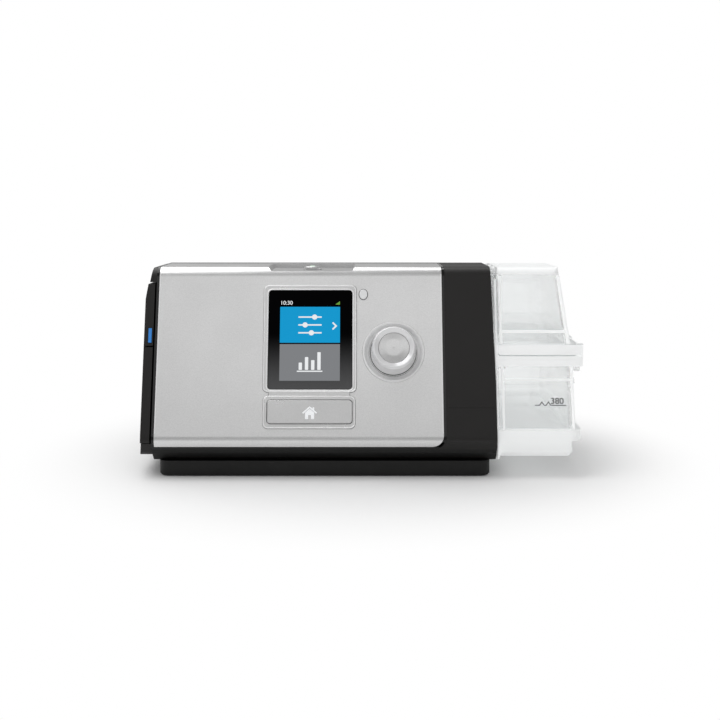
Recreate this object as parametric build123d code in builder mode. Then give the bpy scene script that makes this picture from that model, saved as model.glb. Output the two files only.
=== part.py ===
from build123d import *
import os
from math import asin, cos, degrees, radians, sin, sqrt, tan

# Bedside CPAP machine with a clear water tub docked into its right side, in millimetres.
# +X is to the right of someone facing the screen, -Y is the front and +Z is up. The origin is the
# middle of the bounding box's bottom face, so the rubber feet stand on Z = 0.

os.makedirs("parts", exist_ok=True)

# ------------------------------------------------------------------ overall size
width = 255.0                # left cover to tub flange
depth = 150.0                # nose of the fascia to the tip of the air outlet
height = 116.0               # rubber feet to the top of the casing
cover_depth = 11.2           # how far the left cover stands out from the casing
tub_reach = 51.0             # how far the tub stands out from the casing
outlet_reach = 9.0           # how far the air outlet stands out behind the casing
body_floor = 9.0             # underside of the casing

# ------------------------------------------------------------------ clearances
seat = 0.1                   # between pieces fixed to each other
gap = 0.35                   # between pieces that move past each other
shaft_fit = 0.05             # radial running fit of pins and shafts

# ------------------------------------------------------------------ casing section
lean = 20.0                  # the face leans back by this many degrees
chin_lean = 25.0             # the band under the face leans the other way
nose_z = 20.6                # corner between face and band
nose_round = 8.0
brow_round = 8.0             # round between face and top
lip_z = 14.0                 # corner between band and underside
sole_y = 8.0                 # how far the underside starts behind the nose
top_break_y = 8.0            # the top is level up to here, then falls to the back
back_drop = 5.0              # how far the top has fallen at the back
back_round = 14.0
heel_round = 5.0
wall = 2.4                   # casing walls
right_lean_z = 50.0          # the right side leans in above this height
right_lean = 1.7             # by this much at the top

# ------------------------------------------------------------------ front panels
fascia_wall = 2.2
fascia_foot = 17.8           # lower edge of the fascia
fascia_inset = 1.5           # trim seen at the left of the fascia
fascia_corner = 6.5
trim_right = 1.6             # trim seen at the right of the fascia
trim_wall = 2.3              # trim plate behind the fascia
dock_width = 28.2            # dock cover, from trim to the casing's right side
dock_wall = 3.0
dock_seam_z = 38.9           # seam between the dock cover and its lower trim
seam_behind = 8.3            # front panels end this far behind the finger recess
parting_z = 48.0             # lower case ends here, rear case begins

# ------------------------------------------------------------------ controls on the face
# across is measured from the right edge of the fascia, up the face from its zero line
bezel_width = 52.9
bezel_low = 28.9
bezel_brow = 10.86           # bezel's upper edge below the face's upper corner
bezel_round = 3.0
bezel_proud = 0.8
bezel_sink = 2.5
rim_left = 2.8               # bezel around the screen window
rim_right = 2.4
rim_low = 1.5
rim_high = 3.1
lens_round = 2.0
lens_thick = 1.4
home_in_left = 0.3           # home frame narrower than the bezel, at the left and at the right
home_in_right = 0.7
home_low = 8.3
home_tall = 18.7
key_low = 11.1
key_tall = 13.3
key_proud = 0.7
key_travel = 0.8
dial_across = 27.8
dial_up = 52.3
dial_gap = 3.3               # between the dial's dish and the bezel
dish_radius = 17.5
dish_depth = 3.0
knob_radius = 12.1
knob_flare = 0.9             # the knob is this much wider at its foot
knob_height = 12.0
knob_wall = 1.6
cap_radius = 8.6
dial_travel = 1.5
encoder_size = 12.0
sensor_gap = 1.45            # between the sensor and the bezel
sensor_brow = 16.36          # sensor below the face's upper corner
sensor_wide = 4.7
sensor_tall = 5.9
board_depth = 12.0           # control board behind the face
board_thick = 1.6
board_low = 4.0
board_brow = 22.16           # board's upper edge below the face's upper corner
board_side = 11.0            # board's left edge beyond the bezel's
board_right_in = 9.0         # board's right edge from the fascia's
scoop_across = 48.8          # right end of the finger recess in the top
scoop_width = 51.5
scoop_depth = 2.4
scoop_behind = 16.0          # end of the recess behind the start button
scoop_slope = 2.5
start_radius = 5.2
start_flange = 1.2           # rim that keeps the start button in
start_brow = 15.88           # start button behind the face's upper corner
start_travel = 1.0

# ------------------------------------------------------------------ left cover and its doors
cover_inset = 0.6
cover_wall = 2.4
cover_belly_z = 28.0         # widest height
cover_belly_y = -38.0        # widest place front to back
cover_plan_radius = 2500.0
cover_front_in = 5.1         # at the face the cover is narrower by this much
cover_taper = 0.2            # and it widens by this much per mm behind the face
cover_floor = 12.2           # underside of the cover
cover_top_in = 8.0           # the cover's skin leans in by this much at the casing's top
door_low = 20.0
door_split = 72.0
door_brow = 9.0              # upper door ends this far below the casing's top
door_line = 0.8              # gap between the two doors
door_front = -3.0            # doors reach round the front corner, to this far ahead of the face
door_end = 1.0               # between the doors' front ends and the casing
door_lift = 0.5              # more room over the upper door, which rises as it swings
door_hinge_y = 4.0
door_barrel = 1.9
door_pin = 0.7
door_round = 2.0
tab_rise = 2.2               # pull tab above the split between the doors
tab_tall = 7.8
tab_wide = 1.8
tab_in_left = 7.6            # pull tab from the cover's widest place
tab_proud = 0.5
tab_sink = 1.0

# ------------------------------------------------------------------ plinth
plinth_in_left = 3.0         # plinth set in from the casing
plinth_in_right = 3.1
plinth_in_front = 4.5
plinth_in_back = 8.0
plinth_clear = 0.4           # under the plinth
plinth_wall = 3.0
plinth_corner = 6.0
foot_radius = 7.0
foot_height = 2.8
foot_edge = 13.0             # centre of a foot from the plinth's sides
screw_from_left = 51.3       # screws from the plinth's sides
screw_from_right = 71.4
screw_from_front = 23.5
screw_from_back = 11.0
screw_radius = 1.5
screw_head = 3.0
screw_head_tall = 1.8

# ------------------------------------------------------------------ docking bay and heater
bay_depth = 64.0             # casing's right side to the bay's left wall
bay_front = -30.0
bay_from_back = 12.0
bay_low = 13.2
bay_from_top = 21.6
liner_wall = 1.7
chamber_floor = 22.0
chamber_gap = 1.6            # around the docked chamber
plate_thick = 1.5            # metal plate under the chamber
heater_thick = 2.6
heater_stem = 1.5
spring_wire = 0.45
port_radius = 7.5
inlet_shift = 3.0            # inlet port behind the middle between blower and bay's back
inlet_z = 50.0
outlet_y = -10.0
outlet_share = 0.36937       # outlet port below the bay's top, as a share of the rise from the inlet port

# ------------------------------------------------------------------ water tub
tub_wall = 2.0
tub_face = 3.0               # tub face behind the casing's face
tub_foot_z = 10.0
tub_chin = 4.0               # height of the band under the tub's face
tub_drop = 0.4               # tub's top below the casing's
tub_in_back = 8.0            # tub's back set in from the casing's
bulkhead_out = 1.7           # right side of the bulkhead beyond the casing
bulkhead_drop = 4.5
lid_gap = 1.0                # between bulkhead and lid
lid_in = 12.7                # top of the lid set in from the flange
lid_flare = 5.4              # the lid is this much wider at its lower edge
body_in = 6.2                # the tub's body set in from the flange
tub_corner = 6.0
flange_low = 61.0
flange_split = 66.8
flange_high = 72.7
flange_proud = 2.9
flange_corner = 25.0
flange_nose = 8.0            # the flange's front is cut straight this far behind the face
rib_low = 51.0
rib_tall = 2.7
rib_proud = 0.8
skirt_low = 21.0
skirt_high = 26.5
skirt_in = 2.9               # skirt and foot set in from the flange
foot_in = 8.5
hinge_out = 2.0              # lid's hinge from the bulkhead's side, and below the casing's top
hinge_drop = 2.8
hinge_pin = 1.0
hinge_ear = 5.0
hinge_ears_y = (-24.0, -6.0)
seal_width = 1.6
latch_behind = 1.64          # latch behind the flange's front corner
latch_long = 30.0
latch_z = 70.8
latch_low = 56.4
latch_barrel = 1.1

# ------------------------------------------------------------------ blower and air path
blower_from_bay = 57.5
blower_radius = 34.0
blower_low = 30.0
blower_split = 48.0
blower_high = 64.0
blower_wall = 2.0
inlet_radius = 11.0
motor_radius = 14.0
motor_height = 14.0
motor_shaft_radius = 1.5
impeller_radius = 27.0
impeller_blades = 11
duct_radius = 8.5
duct_wall = 1.2
outlet_from_bay = 14.5
outlet_radius = 11.0         # 22 mm breathing-circuit connector
outlet_length = 20.0
outlet_wall = 1.8
outlet_root = 11.4           # radius inside the casing's hole
muffler_low = 66.0
muffler_drop = 17.0          # muffler's top below the casing's
muffler_gap = 7.5            # between main board and muffler
muffler_in_back = 11.0
muffler_in_left = 5.3
muffler_past = 15.0          # the muffler reaches this far past the blower's axis
muffler_wall = 1.8
filter_width = 43.5
filter_in_left = 2.5         # filter set in from the muffler's sides
filter_in = 1.0
filter_plate = 2.2
filter_barrel = 1.5

# ------------------------------------------------------------------ boards, card and power inlet
main_board_z = 80.0
board_in_left = 8.3          # main board from the casing's left side and from the bay
board_from_bay = 24.5
board_gap = 1.5              # between the two boards
board_rim = 2.0              # board beyond the card
switch_size = 6.0
mount_tall = 6.0             # blower's rubber mounts
mount_radius = 4.5
card_width = 24.0
card_length = 32.0
card_thick = 2.1
card_shift = 5.3             # card from the middle of its door
card_proud = 2.0             # out of the casing's left wall
card_travel = 1.0
power_in_left = 28.3         # power inlet from the casing's left side
power_z = 30.0
power_radius = 7.0
power_bore = 4.2
pocket_width = 26.0
pocket_tall = 27.0
pocket_depth = 6.0
clip_pin_radius = 1.2

# ------------------------------------------------------------------ worked-out places
half_width = width / 2
front = -depth / 2
back = depth / 2 - outlet_reach
casing_left = -half_width + cover_depth
casing_right = half_width - tub_reach
half_turn = radians((lean + chin_lean) / 2)
half_tilt = radians((chin_lean - lean) / 2)
nose_y = front + nose_round * (1 - cos(half_tilt) / cos(half_turn))
slope = tan(radians(lean))
face_zero = 20.0


def face_y(z, behind=0.0):
    """Y of the leaning face at height z, or of a plane that lies behind it."""
    return nose_y + (z - nose_z) * slope + behind / cos(radians(lean))


face = Plane(
    origin=(0, face_y(face_zero), face_zero),
    x_dir=(1, 0, 0),
    z_dir=(0, -cos(radians(lean)), sin(radians(lean))),
)
outward = Axis(face.origin, face.z_dir)
taper_plane = Plane(origin=face.origin, x_dir=(1, 0, 0), z_dir=(0, sin(radians(lean)), cos(radians(lean))))
face_length = (height - face_zero) / cos(radians(lean))
start_y = face_y(height) + start_brow
scoop_back = start_y + scoop_behind
seam_y = scoop_back + seam_behind
casing_points = [
    (front + sole_y, body_floor),
    (nose_y + (nose_z - lip_z) * tan(radians(chin_lean)), lip_z),
    (nose_y, nose_z),
    (face_y(height), height),
    (top_break_y, height),
    (back, height - back_drop),
    (back, body_floor),
]
casing_rounds = [2.0, 3.0, nose_round, brow_round, 60.0, back_round, heel_round]


# left cover and controls
cover_side_radius = ((height - cover_belly_z) ** 2 + cover_top_in**2) / (2 * cover_top_in)
bezel_right = dial_across + dish_radius + dial_gap
bezel_left = bezel_right + bezel_width
bezel_tall = face_length - bezel_brow - bezel_low
lens_left = bezel_left - rim_left
lens_width = bezel_width - rim_left - rim_right
lens_low = bezel_low + rim_low
lens_tall = bezel_tall - rim_low - rim_high
home_left = bezel_left - home_in_left
home_width = bezel_width - home_in_left - home_in_right
sensor_across = bezel_right - sensor_gap - sensor_wide / 2
sensor_up = face_length - sensor_brow
board_high = face_length - board_brow
door_high = height - door_brow
tab_low = door_split + tab_rise

# plinth, docking bay and tub
plinth_left = casing_left + plinth_in_left
plinth_right = casing_right - plinth_in_right
plinth_front = front + plinth_in_front
plinth_back = back - plinth_in_back
bay_left = casing_right - bay_depth
bay_back = back - bay_from_back
bay_high = height - bay_from_top
tub_top = height - tub_drop
tub_back = back - tub_in_back
bulkhead_right = casing_right + bulkhead_out
bulkhead_top = height - bulkhead_drop
lid_left = bulkhead_right + lid_gap
lid_right = half_width - lid_in              # at the top of the lid
body_right = half_width - body_in
skirt_right = half_width - skirt_in
foot_right = half_width - foot_in
hinge_x = bulkhead_right + hinge_out
hinge_z = height - hinge_drop
flange_front = face_y(flange_high) + flange_nose
latch_y = (flange_front + latch_behind, flange_front + latch_behind + latch_long)

# boards, card, muffler, filter, blower and ports
main_board_left = casing_left + board_in_left
main_board_right = bay_left - board_from_bay
main_board_front = face_y(main_board_z, board_depth + board_thick) + board_gap
card_y = (face_y(main_board_z, door_front) + door_hinge_y) / 2 + card_shift
main_board_back = card_y + card_width / 2 + board_rim
power_x = casing_left + power_in_left
blower_x = bay_left - blower_from_bay
blower_y = main_board_back + muffler_gap + inlet_radius + 1
muffler_front = main_board_back + muffler_gap
muffler_back = back - muffler_in_back
muffler_left = casing_left + muffler_in_left
muffler_right = blower_x + muffler_past
muffler_high = height - muffler_drop
filter_left = muffler_left + filter_in_left
filter_right = filter_left + filter_width
filter_low = muffler_low + filter_in
filter_high = muffler_high - filter_in
inlet_y = (blower_y + bay_back) / 2 + inlet_shift
outlet_z = bay_high - outlet_share * (bay_high - inlet_z)
outlet_x = bay_left - outlet_from_bay


# ------------------------------------------------------------------ building helpers
def block(low, high, mode=Mode.ADD):
    """Box between two corners."""
    low, high = Vector(*low), Vector(*high)
    size = high - low
    with Locations((low + high) / 2):
        Box(size.X, size.Y, size.Z, mode=mode)


def rod(start, end, radius, mode=Mode.ADD):
    """Round bar from one point to another."""
    start, end = Vector(*start), Vector(*end)
    with Locations(Plane(origin=start, z_dir=end - start)):
        Cylinder(radius, (end - start).length, align=(Align.CENTER, Align.CENTER, Align.MIN), mode=mode)


def plate(plane, centre, size, corner, thickness, mode=Mode.ADD):
    """Flat plate with rounded corners, standing on a plane."""
    with BuildSketch(plane, mode=Mode.PRIVATE) as outline:
        with Locations(centre):
            RectangleRounded(*size, corner)
    extrude(outline.sketch, amount=thickness, mode=mode)


def right_side(offset_x):
    """Everything left of the casing's right side, moved out by offset_x."""
    with BuildSketch(Plane.XZ, mode=Mode.PRIVATE) as outline:
        with BuildLine():
            Polyline(
                (-width, -height),
                (casing_right + offset_x, -height),
                (casing_right + offset_x, right_lean_z),
                (casing_right - right_lean + offset_x, height),
                (casing_right - right_lean + offset_x, 2 * height),
                (-width, 2 * height),
                close=True,
            )
        make_face()
    return extrude(outline.sketch, amount=depth, both=True, mode=Mode.PRIVATE)


def casing_block(x_from, x_to, inset=0.0):
    """Solid of the casing's side outline between two X, set in by inset all round."""
    with BuildSketch(Plane.YZ.offset(x_from), mode=Mode.PRIVATE) as outline:
        with BuildLine():
            FilletPolyline(*casing_points, radius=casing_rounds, close=True)
        make_face()
        if inset:
            offset(amount=-inset, kind=Kind.INTERSECTION)
    return extrude(outline.sketch, amount=x_to - x_from, mode=Mode.PRIVATE)


def front_skin(x_from, x_to, outer, inner, low_z):
    """Sheet that follows the face and the top of the casing, from low_z up and back to the seam."""
    with BuildPart(mode=Mode.PRIVATE) as sheet:
        add(casing_block(x_from, x_to, outer))
        add(casing_block(x_from - 1, x_to + 1, inner), mode=Mode.SUBTRACT)
        block((x_from - 1, front - 1, 0), (x_to + 1, back + 1, low_z), mode=Mode.SUBTRACT)
        block((x_from - 1, seam_y - seat, 0), (x_to + 1, back + 1, height + 1), mode=Mode.SUBTRACT)
    return sheet.part


def cover_block(inset, x_to):
    """Bulging solid of the left cover out to x_to, set in by inset."""
    centre = -half_width + cover_plan_radius
    sweep_side = degrees(asin(height / cover_side_radius))
    sweep = degrees(asin(depth / cover_plan_radius))
    with BuildSketch(Plane.XZ.offset(-cover_belly_y), mode=Mode.PRIVATE) as profile:
        with BuildLine():
            side = CenterArc(
                (-half_width + cover_side_radius, cover_belly_z),
                cover_side_radius - inset,
                180 - sweep_side,
                2 * sweep_side,
            )
            Polyline(side @ 1, (centre, (side @ 1).Y), (centre, (side @ 0).Y), side @ 0)
        make_face()
    edge = -half_width + cover_front_in + inset * sqrt(1 + cover_taper**2)
    with BuildSketch(taper_plane, mode=Mode.PRIVATE) as outside:
        with BuildLine():
            Polyline(
                (edge - depth * cover_taper, depth),
                (-width, depth),
                (-width, -depth),
                (edge + depth * cover_taper, -depth),
                close=True,
            )
        make_face()
    with BuildPart(mode=Mode.PRIVATE) as bulge:
        for turn in (1, -1):
            revolve(profile.sketch, axis=Axis((centre, cover_belly_y, 0), (0, 0, turn)), revolution_arc=sweep)
        add(casing_block(-half_width - 1, x_to, inset), mode=Mode.INTERSECT)
        extrude(outside.sketch, amount=2 * height, both=True, mode=Mode.SUBTRACT)
        block((-width, -depth, -1), (0, depth, cover_floor + inset), mode=Mode.SUBTRACT)
    return bulge.part


def cover_skin_x(y, z):
    """X of the left cover's outer skin behind its widest place."""
    side_x = cover_side_radius - sqrt(cover_side_radius**2 - (z - cover_belly_z) ** 2)
    ring = cover_plan_radius - side_x
    return -half_width + cover_plan_radius - sqrt(ring**2 - (y - cover_belly_y) ** 2)


def door_block(low_z, high_z, grow=0.0):
    """Prism of a side door's outline, through the left cover; grown, it also reaches the casing."""
    reach = cover_depth + 1 if grow else cover_depth + 1 - door_end
    with BuildSketch(Plane.YZ.offset(-half_width - 1), mode=Mode.PRIVATE) as outline:
        with BuildLine():
            FilletPolyline(
                (face_y(low_z, door_front), low_z),
                (door_hinge_y, low_z),
                (door_hinge_y, high_z),
                (face_y(high_z, door_front), high_z),
                radius=[door_round, 0, 0, door_round],
                close=True,
            )
        make_face()
        if grow:
            offset(amount=grow, kind=Kind.INTERSECTION)
    return extrude(outline.sketch, amount=reach, mode=Mode.PRIVATE)


def finish(builder, name):
    """Label a finished piece and write it."""
    builder.part.label = name
    export_step(builder.part, f"parts/{name}.step")


# ------------------------------------------------------------------ plinth, feet and screws
plinth_middle = ((plinth_left + plinth_right) / 2, (plinth_front + plinth_back) / 2)
plinth_size = (plinth_right - plinth_left, plinth_back - plinth_front)
foot_spots = [
    (x, y)
    for x in (plinth_left + foot_edge, plinth_right - foot_edge)
    for y in (plinth_front + foot_edge, plinth_back - foot_edge)
]
screw_spots = [
    (x, y)
    for x in (plinth_left + screw_from_left, plinth_right - screw_from_right)
    for y in (plinth_front + screw_from_front, plinth_back - screw_from_back)
]
plinth_inside = foot_height + plinth_wall
screw_boss_top = body_floor + 10.0

with BuildPart() as base_plinth:
    plate(Plane.XY.offset(plinth_clear), plinth_middle, plinth_size, plinth_corner, body_floor - plinth_clear)
    chamfer(base_plinth.faces().sort_by(Axis.Z)[0].edges(), 0.8)
    plate(
        Plane.XY.offset(plinth_inside),
        plinth_middle,
        (plinth_size[0] - 2 * plinth_wall, plinth_size[1] - 2 * plinth_wall),
        plinth_corner - plinth_wall,
        body_floor - plinth_inside,
        mode=Mode.SUBTRACT,
    )
    for x, y in screw_spots:
        rod((x, y, plinth_clear), (x, y, body_floor), screw_head + 2)
        rod((x, y, 0), (x, y, body_floor + 1), screw_radius + 0.2, mode=Mode.SUBTRACT)
        rod((x, y, 0), (x, y, plinth_clear + plinth_wall), screw_head + 0.3, mode=Mode.SUBTRACT)
    for x, y in foot_spots:
        rod((x, y, 0), (x, y, foot_height + seat), foot_radius + seat, mode=Mode.SUBTRACT)
finish(base_plinth, "base_plinth")

with BuildPart() as rubber_feet:
    for x, y in foot_spots:
        rod((x, y, 0), (x, y, foot_height), foot_radius)
    chamfer(rubber_feet.edges().group_by(Axis.Z)[0], 0.6)
finish(rubber_feet, "rubber_feet")

screw_seat = plinth_clear + plinth_wall
with BuildPart() as case_screws:
    for x, y in screw_spots:
        rod((x, y, screw_seat - screw_head_tall), (x, y, screw_seat - 0.02), screw_head)
        rod((x, y, screw_seat - screw_head_tall), (x, y, screw_boss_top - 2), screw_radius)
        for slot in ((1.6, 0.4), (0.4, 1.6)):
            block(
                (x - slot[0], y - slot[1], screw_seat - screw_head_tall - 1),
                (x + slot[0], y + slot[1], screw_seat - screw_head_tall + 0.8),
                mode=Mode.SUBTRACT,
            )
finish(case_screws, "case_screws")

# ------------------------------------------------------------------ casing shells
fascia_left = casing_left + fascia_inset
trim_edge = casing_right - dock_width          # right edge of the trim
fascia_right = trim_edge - trim_right
panel_inset = fascia_wall + seat + trim_wall
wall_inside = casing_right - wall
lip_top = fascia_foot - 1.6


def face_x(across):
    """X of a control, given its distance from the fascia's right edge."""
    return fascia_right - across


chamber_front = bay_front + chamber_gap
chamber_back = bay_back - chamber_gap
chamber_left = bay_left + liner_wall + chamber_gap
heater_top = chamber_floor - plate_thick - gap
heater_spots = [
    (x, y)
    for x in (chamber_left + 14, wall_inside - 14)
    for y in (chamber_front + 14, chamber_back - 14)
]
board_posts = [
    (x, y)
    for x in (main_board_left + 4, main_board_right - 4)
    for y in (main_board_front + 5, main_board_back - 4.5)
]
blower_feet = [(blower_x + dx, blower_y + dy) for dx in (-20, 20) for dy in (-20, 20)]
pocket_low = (power_x - pocket_width / 2, back - pocket_depth, power_z - 12)
pocket_high = (power_x + pocket_width / 2, back + 1, power_z - 12 + pocket_tall)

over_all = (casing_right + 1, back + 1, height + 1)   # corner beyond the casing

# zone kept free for the panels of the front and of the top's front half
panel_zone = front_skin(casing_left - 1, casing_right + 1, -1.0, panel_inset + seat, lip_top)

with BuildPart() as lower_case:
    add(casing_block(casing_left, casing_right))
    add(casing_block(casing_left + wall, wall_inside, wall), mode=Mode.SUBTRACT)
    add(right_side(0), mode=Mode.INTERSECT)
    block((casing_left - 1, front - 1, parting_z), over_all, mode=Mode.SUBTRACT)
    add(panel_zone, mode=Mode.SUBTRACT)
    block((wall_inside - 1, bay_front, bay_low), (over_all[0], bay_back, parting_z + 1), mode=Mode.SUBTRACT)
    for x, y in board_posts:
        rod((x, y, body_floor + 1), (x, y, main_board_z), 2.6)
    for x, y in blower_feet:
        rod((x, y, body_floor + 1), (x, y, blower_low - mount_tall), mount_radius + 0.5)
    block(
        (pocket_low[0] - wall, pocket_low[1] - wall, pocket_low[2] - wall),
        (pocket_high[0] + wall, back - wall / 2, pocket_high[2] + wall),
    )
    block(pocket_low, pocket_high, mode=Mode.SUBTRACT)
    rod((power_x, back, power_z), (power_x, back - 20, power_z), power_radius + seat, mode=Mode.SUBTRACT)
    for x, y in screw_spots:
        rod((x, y, body_floor), (x, y, screw_boss_top), screw_radius + 2.5)
        rod((x, y, body_floor - 1), (x, y, screw_boss_top - 1.5), screw_radius + seat, mode=Mode.SUBTRACT)
    for x, y in heater_spots:
        rod((x, y, body_floor - 1), (x, y, bay_low), heater_stem + 0.6, mode=Mode.SUBTRACT)
finish(lower_case, "lower_case")

filter_axis = (filter_left, back - filter_barrel)
card_hole_low = (casing_left - 1, card_y - card_width / 2 - 0.8, main_board_z + 1.8)
card_hole_high = (casing_left + wall + 1, card_y + card_width / 2 + 0.8, main_board_z + 5.6)
with BuildPart() as rear_case:
    add(casing_block(casing_left, casing_right))
    add(casing_block(casing_left + wall, wall_inside, wall), mode=Mode.SUBTRACT)
    add(right_side(0), mode=Mode.INTERSECT)
    block((casing_left - 1, front - 1, 0), (*over_all[:2], parting_z + seat), mode=Mode.SUBTRACT)
    add(panel_zone, mode=Mode.SUBTRACT)
    block((casing_right - 6, bay_front, parting_z - 1), (over_all[0], bay_back, bay_high), mode=Mode.SUBTRACT)
    block(
        (filter_axis[0] - filter_barrel - gap, back - wall - 1, filter_low - gap),
        (filter_right + gap, back + 1, filter_high + gap),
        mode=Mode.SUBTRACT,
    )
    rod(
        (*filter_axis, filter_low - gap - 3),
        (*filter_axis, filter_high + gap + 3),
        door_pin + shaft_fit,
        mode=Mode.SUBTRACT,
    )
    rod(
        (outlet_x, back + 1, outlet_z),
        (outlet_x, back - wall - 1, outlet_z),
        outlet_root + seat,
        mode=Mode.SUBTRACT,
    )
    block(card_hole_low, card_hole_high, mode=Mode.SUBTRACT)
finish(rear_case, "rear_case")

# ------------------------------------------------------------------ fascia and trim
scoop_right = face_x(scoop_across)
start_x = scoop_right - scoop_width / 2
scoop_floor = height - scoop_depth


def scoop_block(grow):
    """Finger recess in the top edge, grown downwards and sideways."""
    with BuildSketch(Plane.XZ.offset(-scoop_back - grow), mode=Mode.PRIVATE) as outline:
        with BuildLine():
            Polyline(
                (scoop_right - scoop_width - grow, height + 1),
                (scoop_right - scoop_width + scoop_slope - grow, scoop_floor - grow),
                (scoop_right - scoop_slope + grow, scoop_floor - grow),
                (scoop_right + grow, height + 1),
                close=True,
            )
        make_face()
    return extrude(outline.sketch, amount=depth / 2, mode=Mode.PRIVATE)


tray_wall = 1.4
with BuildPart() as tray:
    add(casing_block(fascia_left, fascia_right))
    add(scoop_block(tray_wall), mode=Mode.INTERSECT)
    block((fascia_left, front, 0), (fascia_right, face_y(height) - 8, height), mode=Mode.SUBTRACT)

bezel_x = face_x(bezel_left - bezel_width / 2)
bezel_up = bezel_low + bezel_tall / 2
home_x = face_x(home_left - home_width / 2)
home_up = home_low + home_tall / 2
lens_x = face_x(lens_left - lens_width / 2)
lens_up = lens_low + lens_tall / 2
key_up = key_low + key_tall / 2
dial_x = face_x(dial_across)
sensor_x = face_x(sensor_across)


def bezel_block(grow, low, thickness):
    """The bezel's outline, screen frame above and home frame below, standing on the face."""
    with BuildSketch(face.offset(low), mode=Mode.PRIVATE) as outline:
        with Locations((bezel_x, bezel_up)):
            RectangleRounded(bezel_width + 2 * grow, bezel_tall + 2 * grow, bezel_round)
        with Locations((home_x, home_up)):
            RectangleRounded(home_width + 2 * grow, home_tall + 2 * grow, bezel_round)
        with Locations((home_x, (home_low + home_tall + bezel_low) / 2)):
            Rectangle(home_width - 2 * bezel_round + 2 * grow, 2 * bezel_round)
    return extrude(outline.sketch, amount=thickness, mode=Mode.PRIVATE)


def face_rod(across_x, up, low, high, radius, mode=Mode.ADD):
    """Round bar square to the face, from low to high above it."""
    with BuildSketch(face.offset(low), mode=Mode.PRIVATE) as disc:
        with Locations((across_x, up)):
            Circle(radius)
    extrude(disc.sketch, amount=high - low, mode=mode)


def start_hole(radius):
    """Cut a hole through the top for the start button."""
    rod((start_x, start_y, height - 10), (start_x, start_y, height + 1), radius, mode=Mode.SUBTRACT)


with BuildPart() as fascia:
    add(front_skin(fascia_left, fascia_right, 0.0, fascia_wall, fascia_foot))
    fillet(fascia.edges().filter_by(Axis.Y).group_by(Axis.Z)[0].sort_by(Axis.X)[-1], fascia_corner)
    add(scoop_block(0), mode=Mode.SUBTRACT)
    add(tray.part)
    add(scoop_block(0), mode=Mode.SUBTRACT)
    add(bezel_block(seat, -fascia_wall - 2, 8), mode=Mode.SUBTRACT)
    face_rod(dial_x, dial_up, -fascia_wall - 2, 6, dish_radius + seat, mode=Mode.SUBTRACT)
    with BuildSketch(face.offset(-fascia_wall - 2), mode=Mode.PRIVATE) as eye:
        with Locations((sensor_x, sensor_up)):
            Ellipse(sensor_wide / 2 + seat, sensor_tall / 2 + seat)
    extrude(eye.sketch, amount=8, mode=Mode.SUBTRACT)
    start_hole(start_radius + gap)
finish(fascia, "fascia")

shelf_z = height - 15.0
shelf_half = 11.0
shelf_thick = 2.0
board_left = face_x(bezel_left + board_side)
board_right = fascia_right - board_right_in
board_post_spots = [
    (x, up) for x in (board_left + 4, board_right - 4) for up in (board_low + 4, board_high - 6)
]
fascia_zone = front_skin(
    fascia_left - seat, fascia_right + seat, -1.0, fascia_wall + seat, fascia_foot - seat
)
with BuildPart() as front_trim:
    add(front_skin(casing_left, trim_edge, 0.0, panel_inset, lip_top))
    low_edges = front_trim.edges().filter_by(Axis.Y).group_by(Axis.Z)[0]
    fillet(low_edges.sort_by(Axis.X)[-1], fascia_corner + trim_right)
    add(fascia_zone, mode=Mode.SUBTRACT)
    add(scoop_block(tray_wall + seat), mode=Mode.SUBTRACT)
    add(bezel_block(seat, -panel_inset - 3, panel_inset + 5), mode=Mode.SUBTRACT)
    face_rod(dial_x, dial_up, -panel_inset - 3, 0, dish_radius + seat, mode=Mode.SUBTRACT)
    start_hole(start_radius + start_flange + gap)
    for side in (-1, 1):
        block(
            (start_x + side * shelf_half - 1, start_y - 7, shelf_z),
            (start_x + side * shelf_half + 1, start_y + 7, height - panel_inset + 0.8),
        )
    block(
        (start_x - shelf_half, start_y - 7, shelf_z),
        (start_x + shelf_half, start_y + 7, shelf_z + shelf_thick),
    )
    for x, up in board_post_spots:
        face_rod(x, up, -board_depth, -panel_inset + 1, 2.2)
finish(front_trim, "front_trim")

# ------------------------------------------------------------------ dock cover
with BuildPart() as dock_cover:
    add(front_skin(trim_edge + seat, casing_right, 0.0, dock_wall, dock_seam_z + seat))
    add(right_side(0), mode=Mode.INTERSECT)
finish(dock_cover, "dock_cover")

with BuildPart() as trim_shadow:
    add(casing_block(casing_left, trim_edge + seat, -1.0))
    block((casing_left - 1, front - 2, 0), (casing_right, back + 2, lip_top - seat), mode=Mode.SUBTRACT)
    low_edges = trim_shadow.edges().filter_by(Axis.Y).group_by(Axis.Z)[0]
    fillet(low_edges.sort_by(Axis.X)[-1], fascia_corner + trim_right)
with BuildPart() as dock_lower_trim:
    add(front_skin(trim_edge - fascia_corner, casing_right, 0.0, dock_wall, lip_top))
    block((trim_edge - 10, front - 1, dock_seam_z), (casing_right + 1, back, height + 1), mode=Mode.SUBTRACT)
    add(trim_shadow.part, mode=Mode.SUBTRACT)
finish(dock_lower_trim, "dock_lower_trim")

# ------------------------------------------------------------------ left cover and doors
cover_inner_x = casing_left - seat
cover_outer = cover_block(cover_inset, cover_inner_x)
cover_inner = cover_block(cover_inset + cover_wall, cover_inner_x + 1)
door_outer = cover_block(0, cover_inner_x)
door_edge = door_barrel + 0.8                # the cover stands back from the hinge by this much
ear_tall = 6.2
ear_low = (-half_width - 1, door_hinge_y - 2.2, door_split - ear_tall / 2)
ear_high = (cover_inner_x, door_hinge_y + 5, door_split + ear_tall / 2)
door_spans = {
    "adapter_cover": (door_low, door_split - door_line / 2),
    "card_door": (door_split + door_line / 2, door_high - door_lift),
}


def barrel_line(low_z, high_z):
    """Ends of a door's hinge barrel, just under the cover's skin."""
    ends = []
    for z in (low_z, high_z):
        ends.append((cover_skin_x(door_hinge_y, z) + door_barrel + 0.15, door_hinge_y, z))
    return ends


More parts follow.
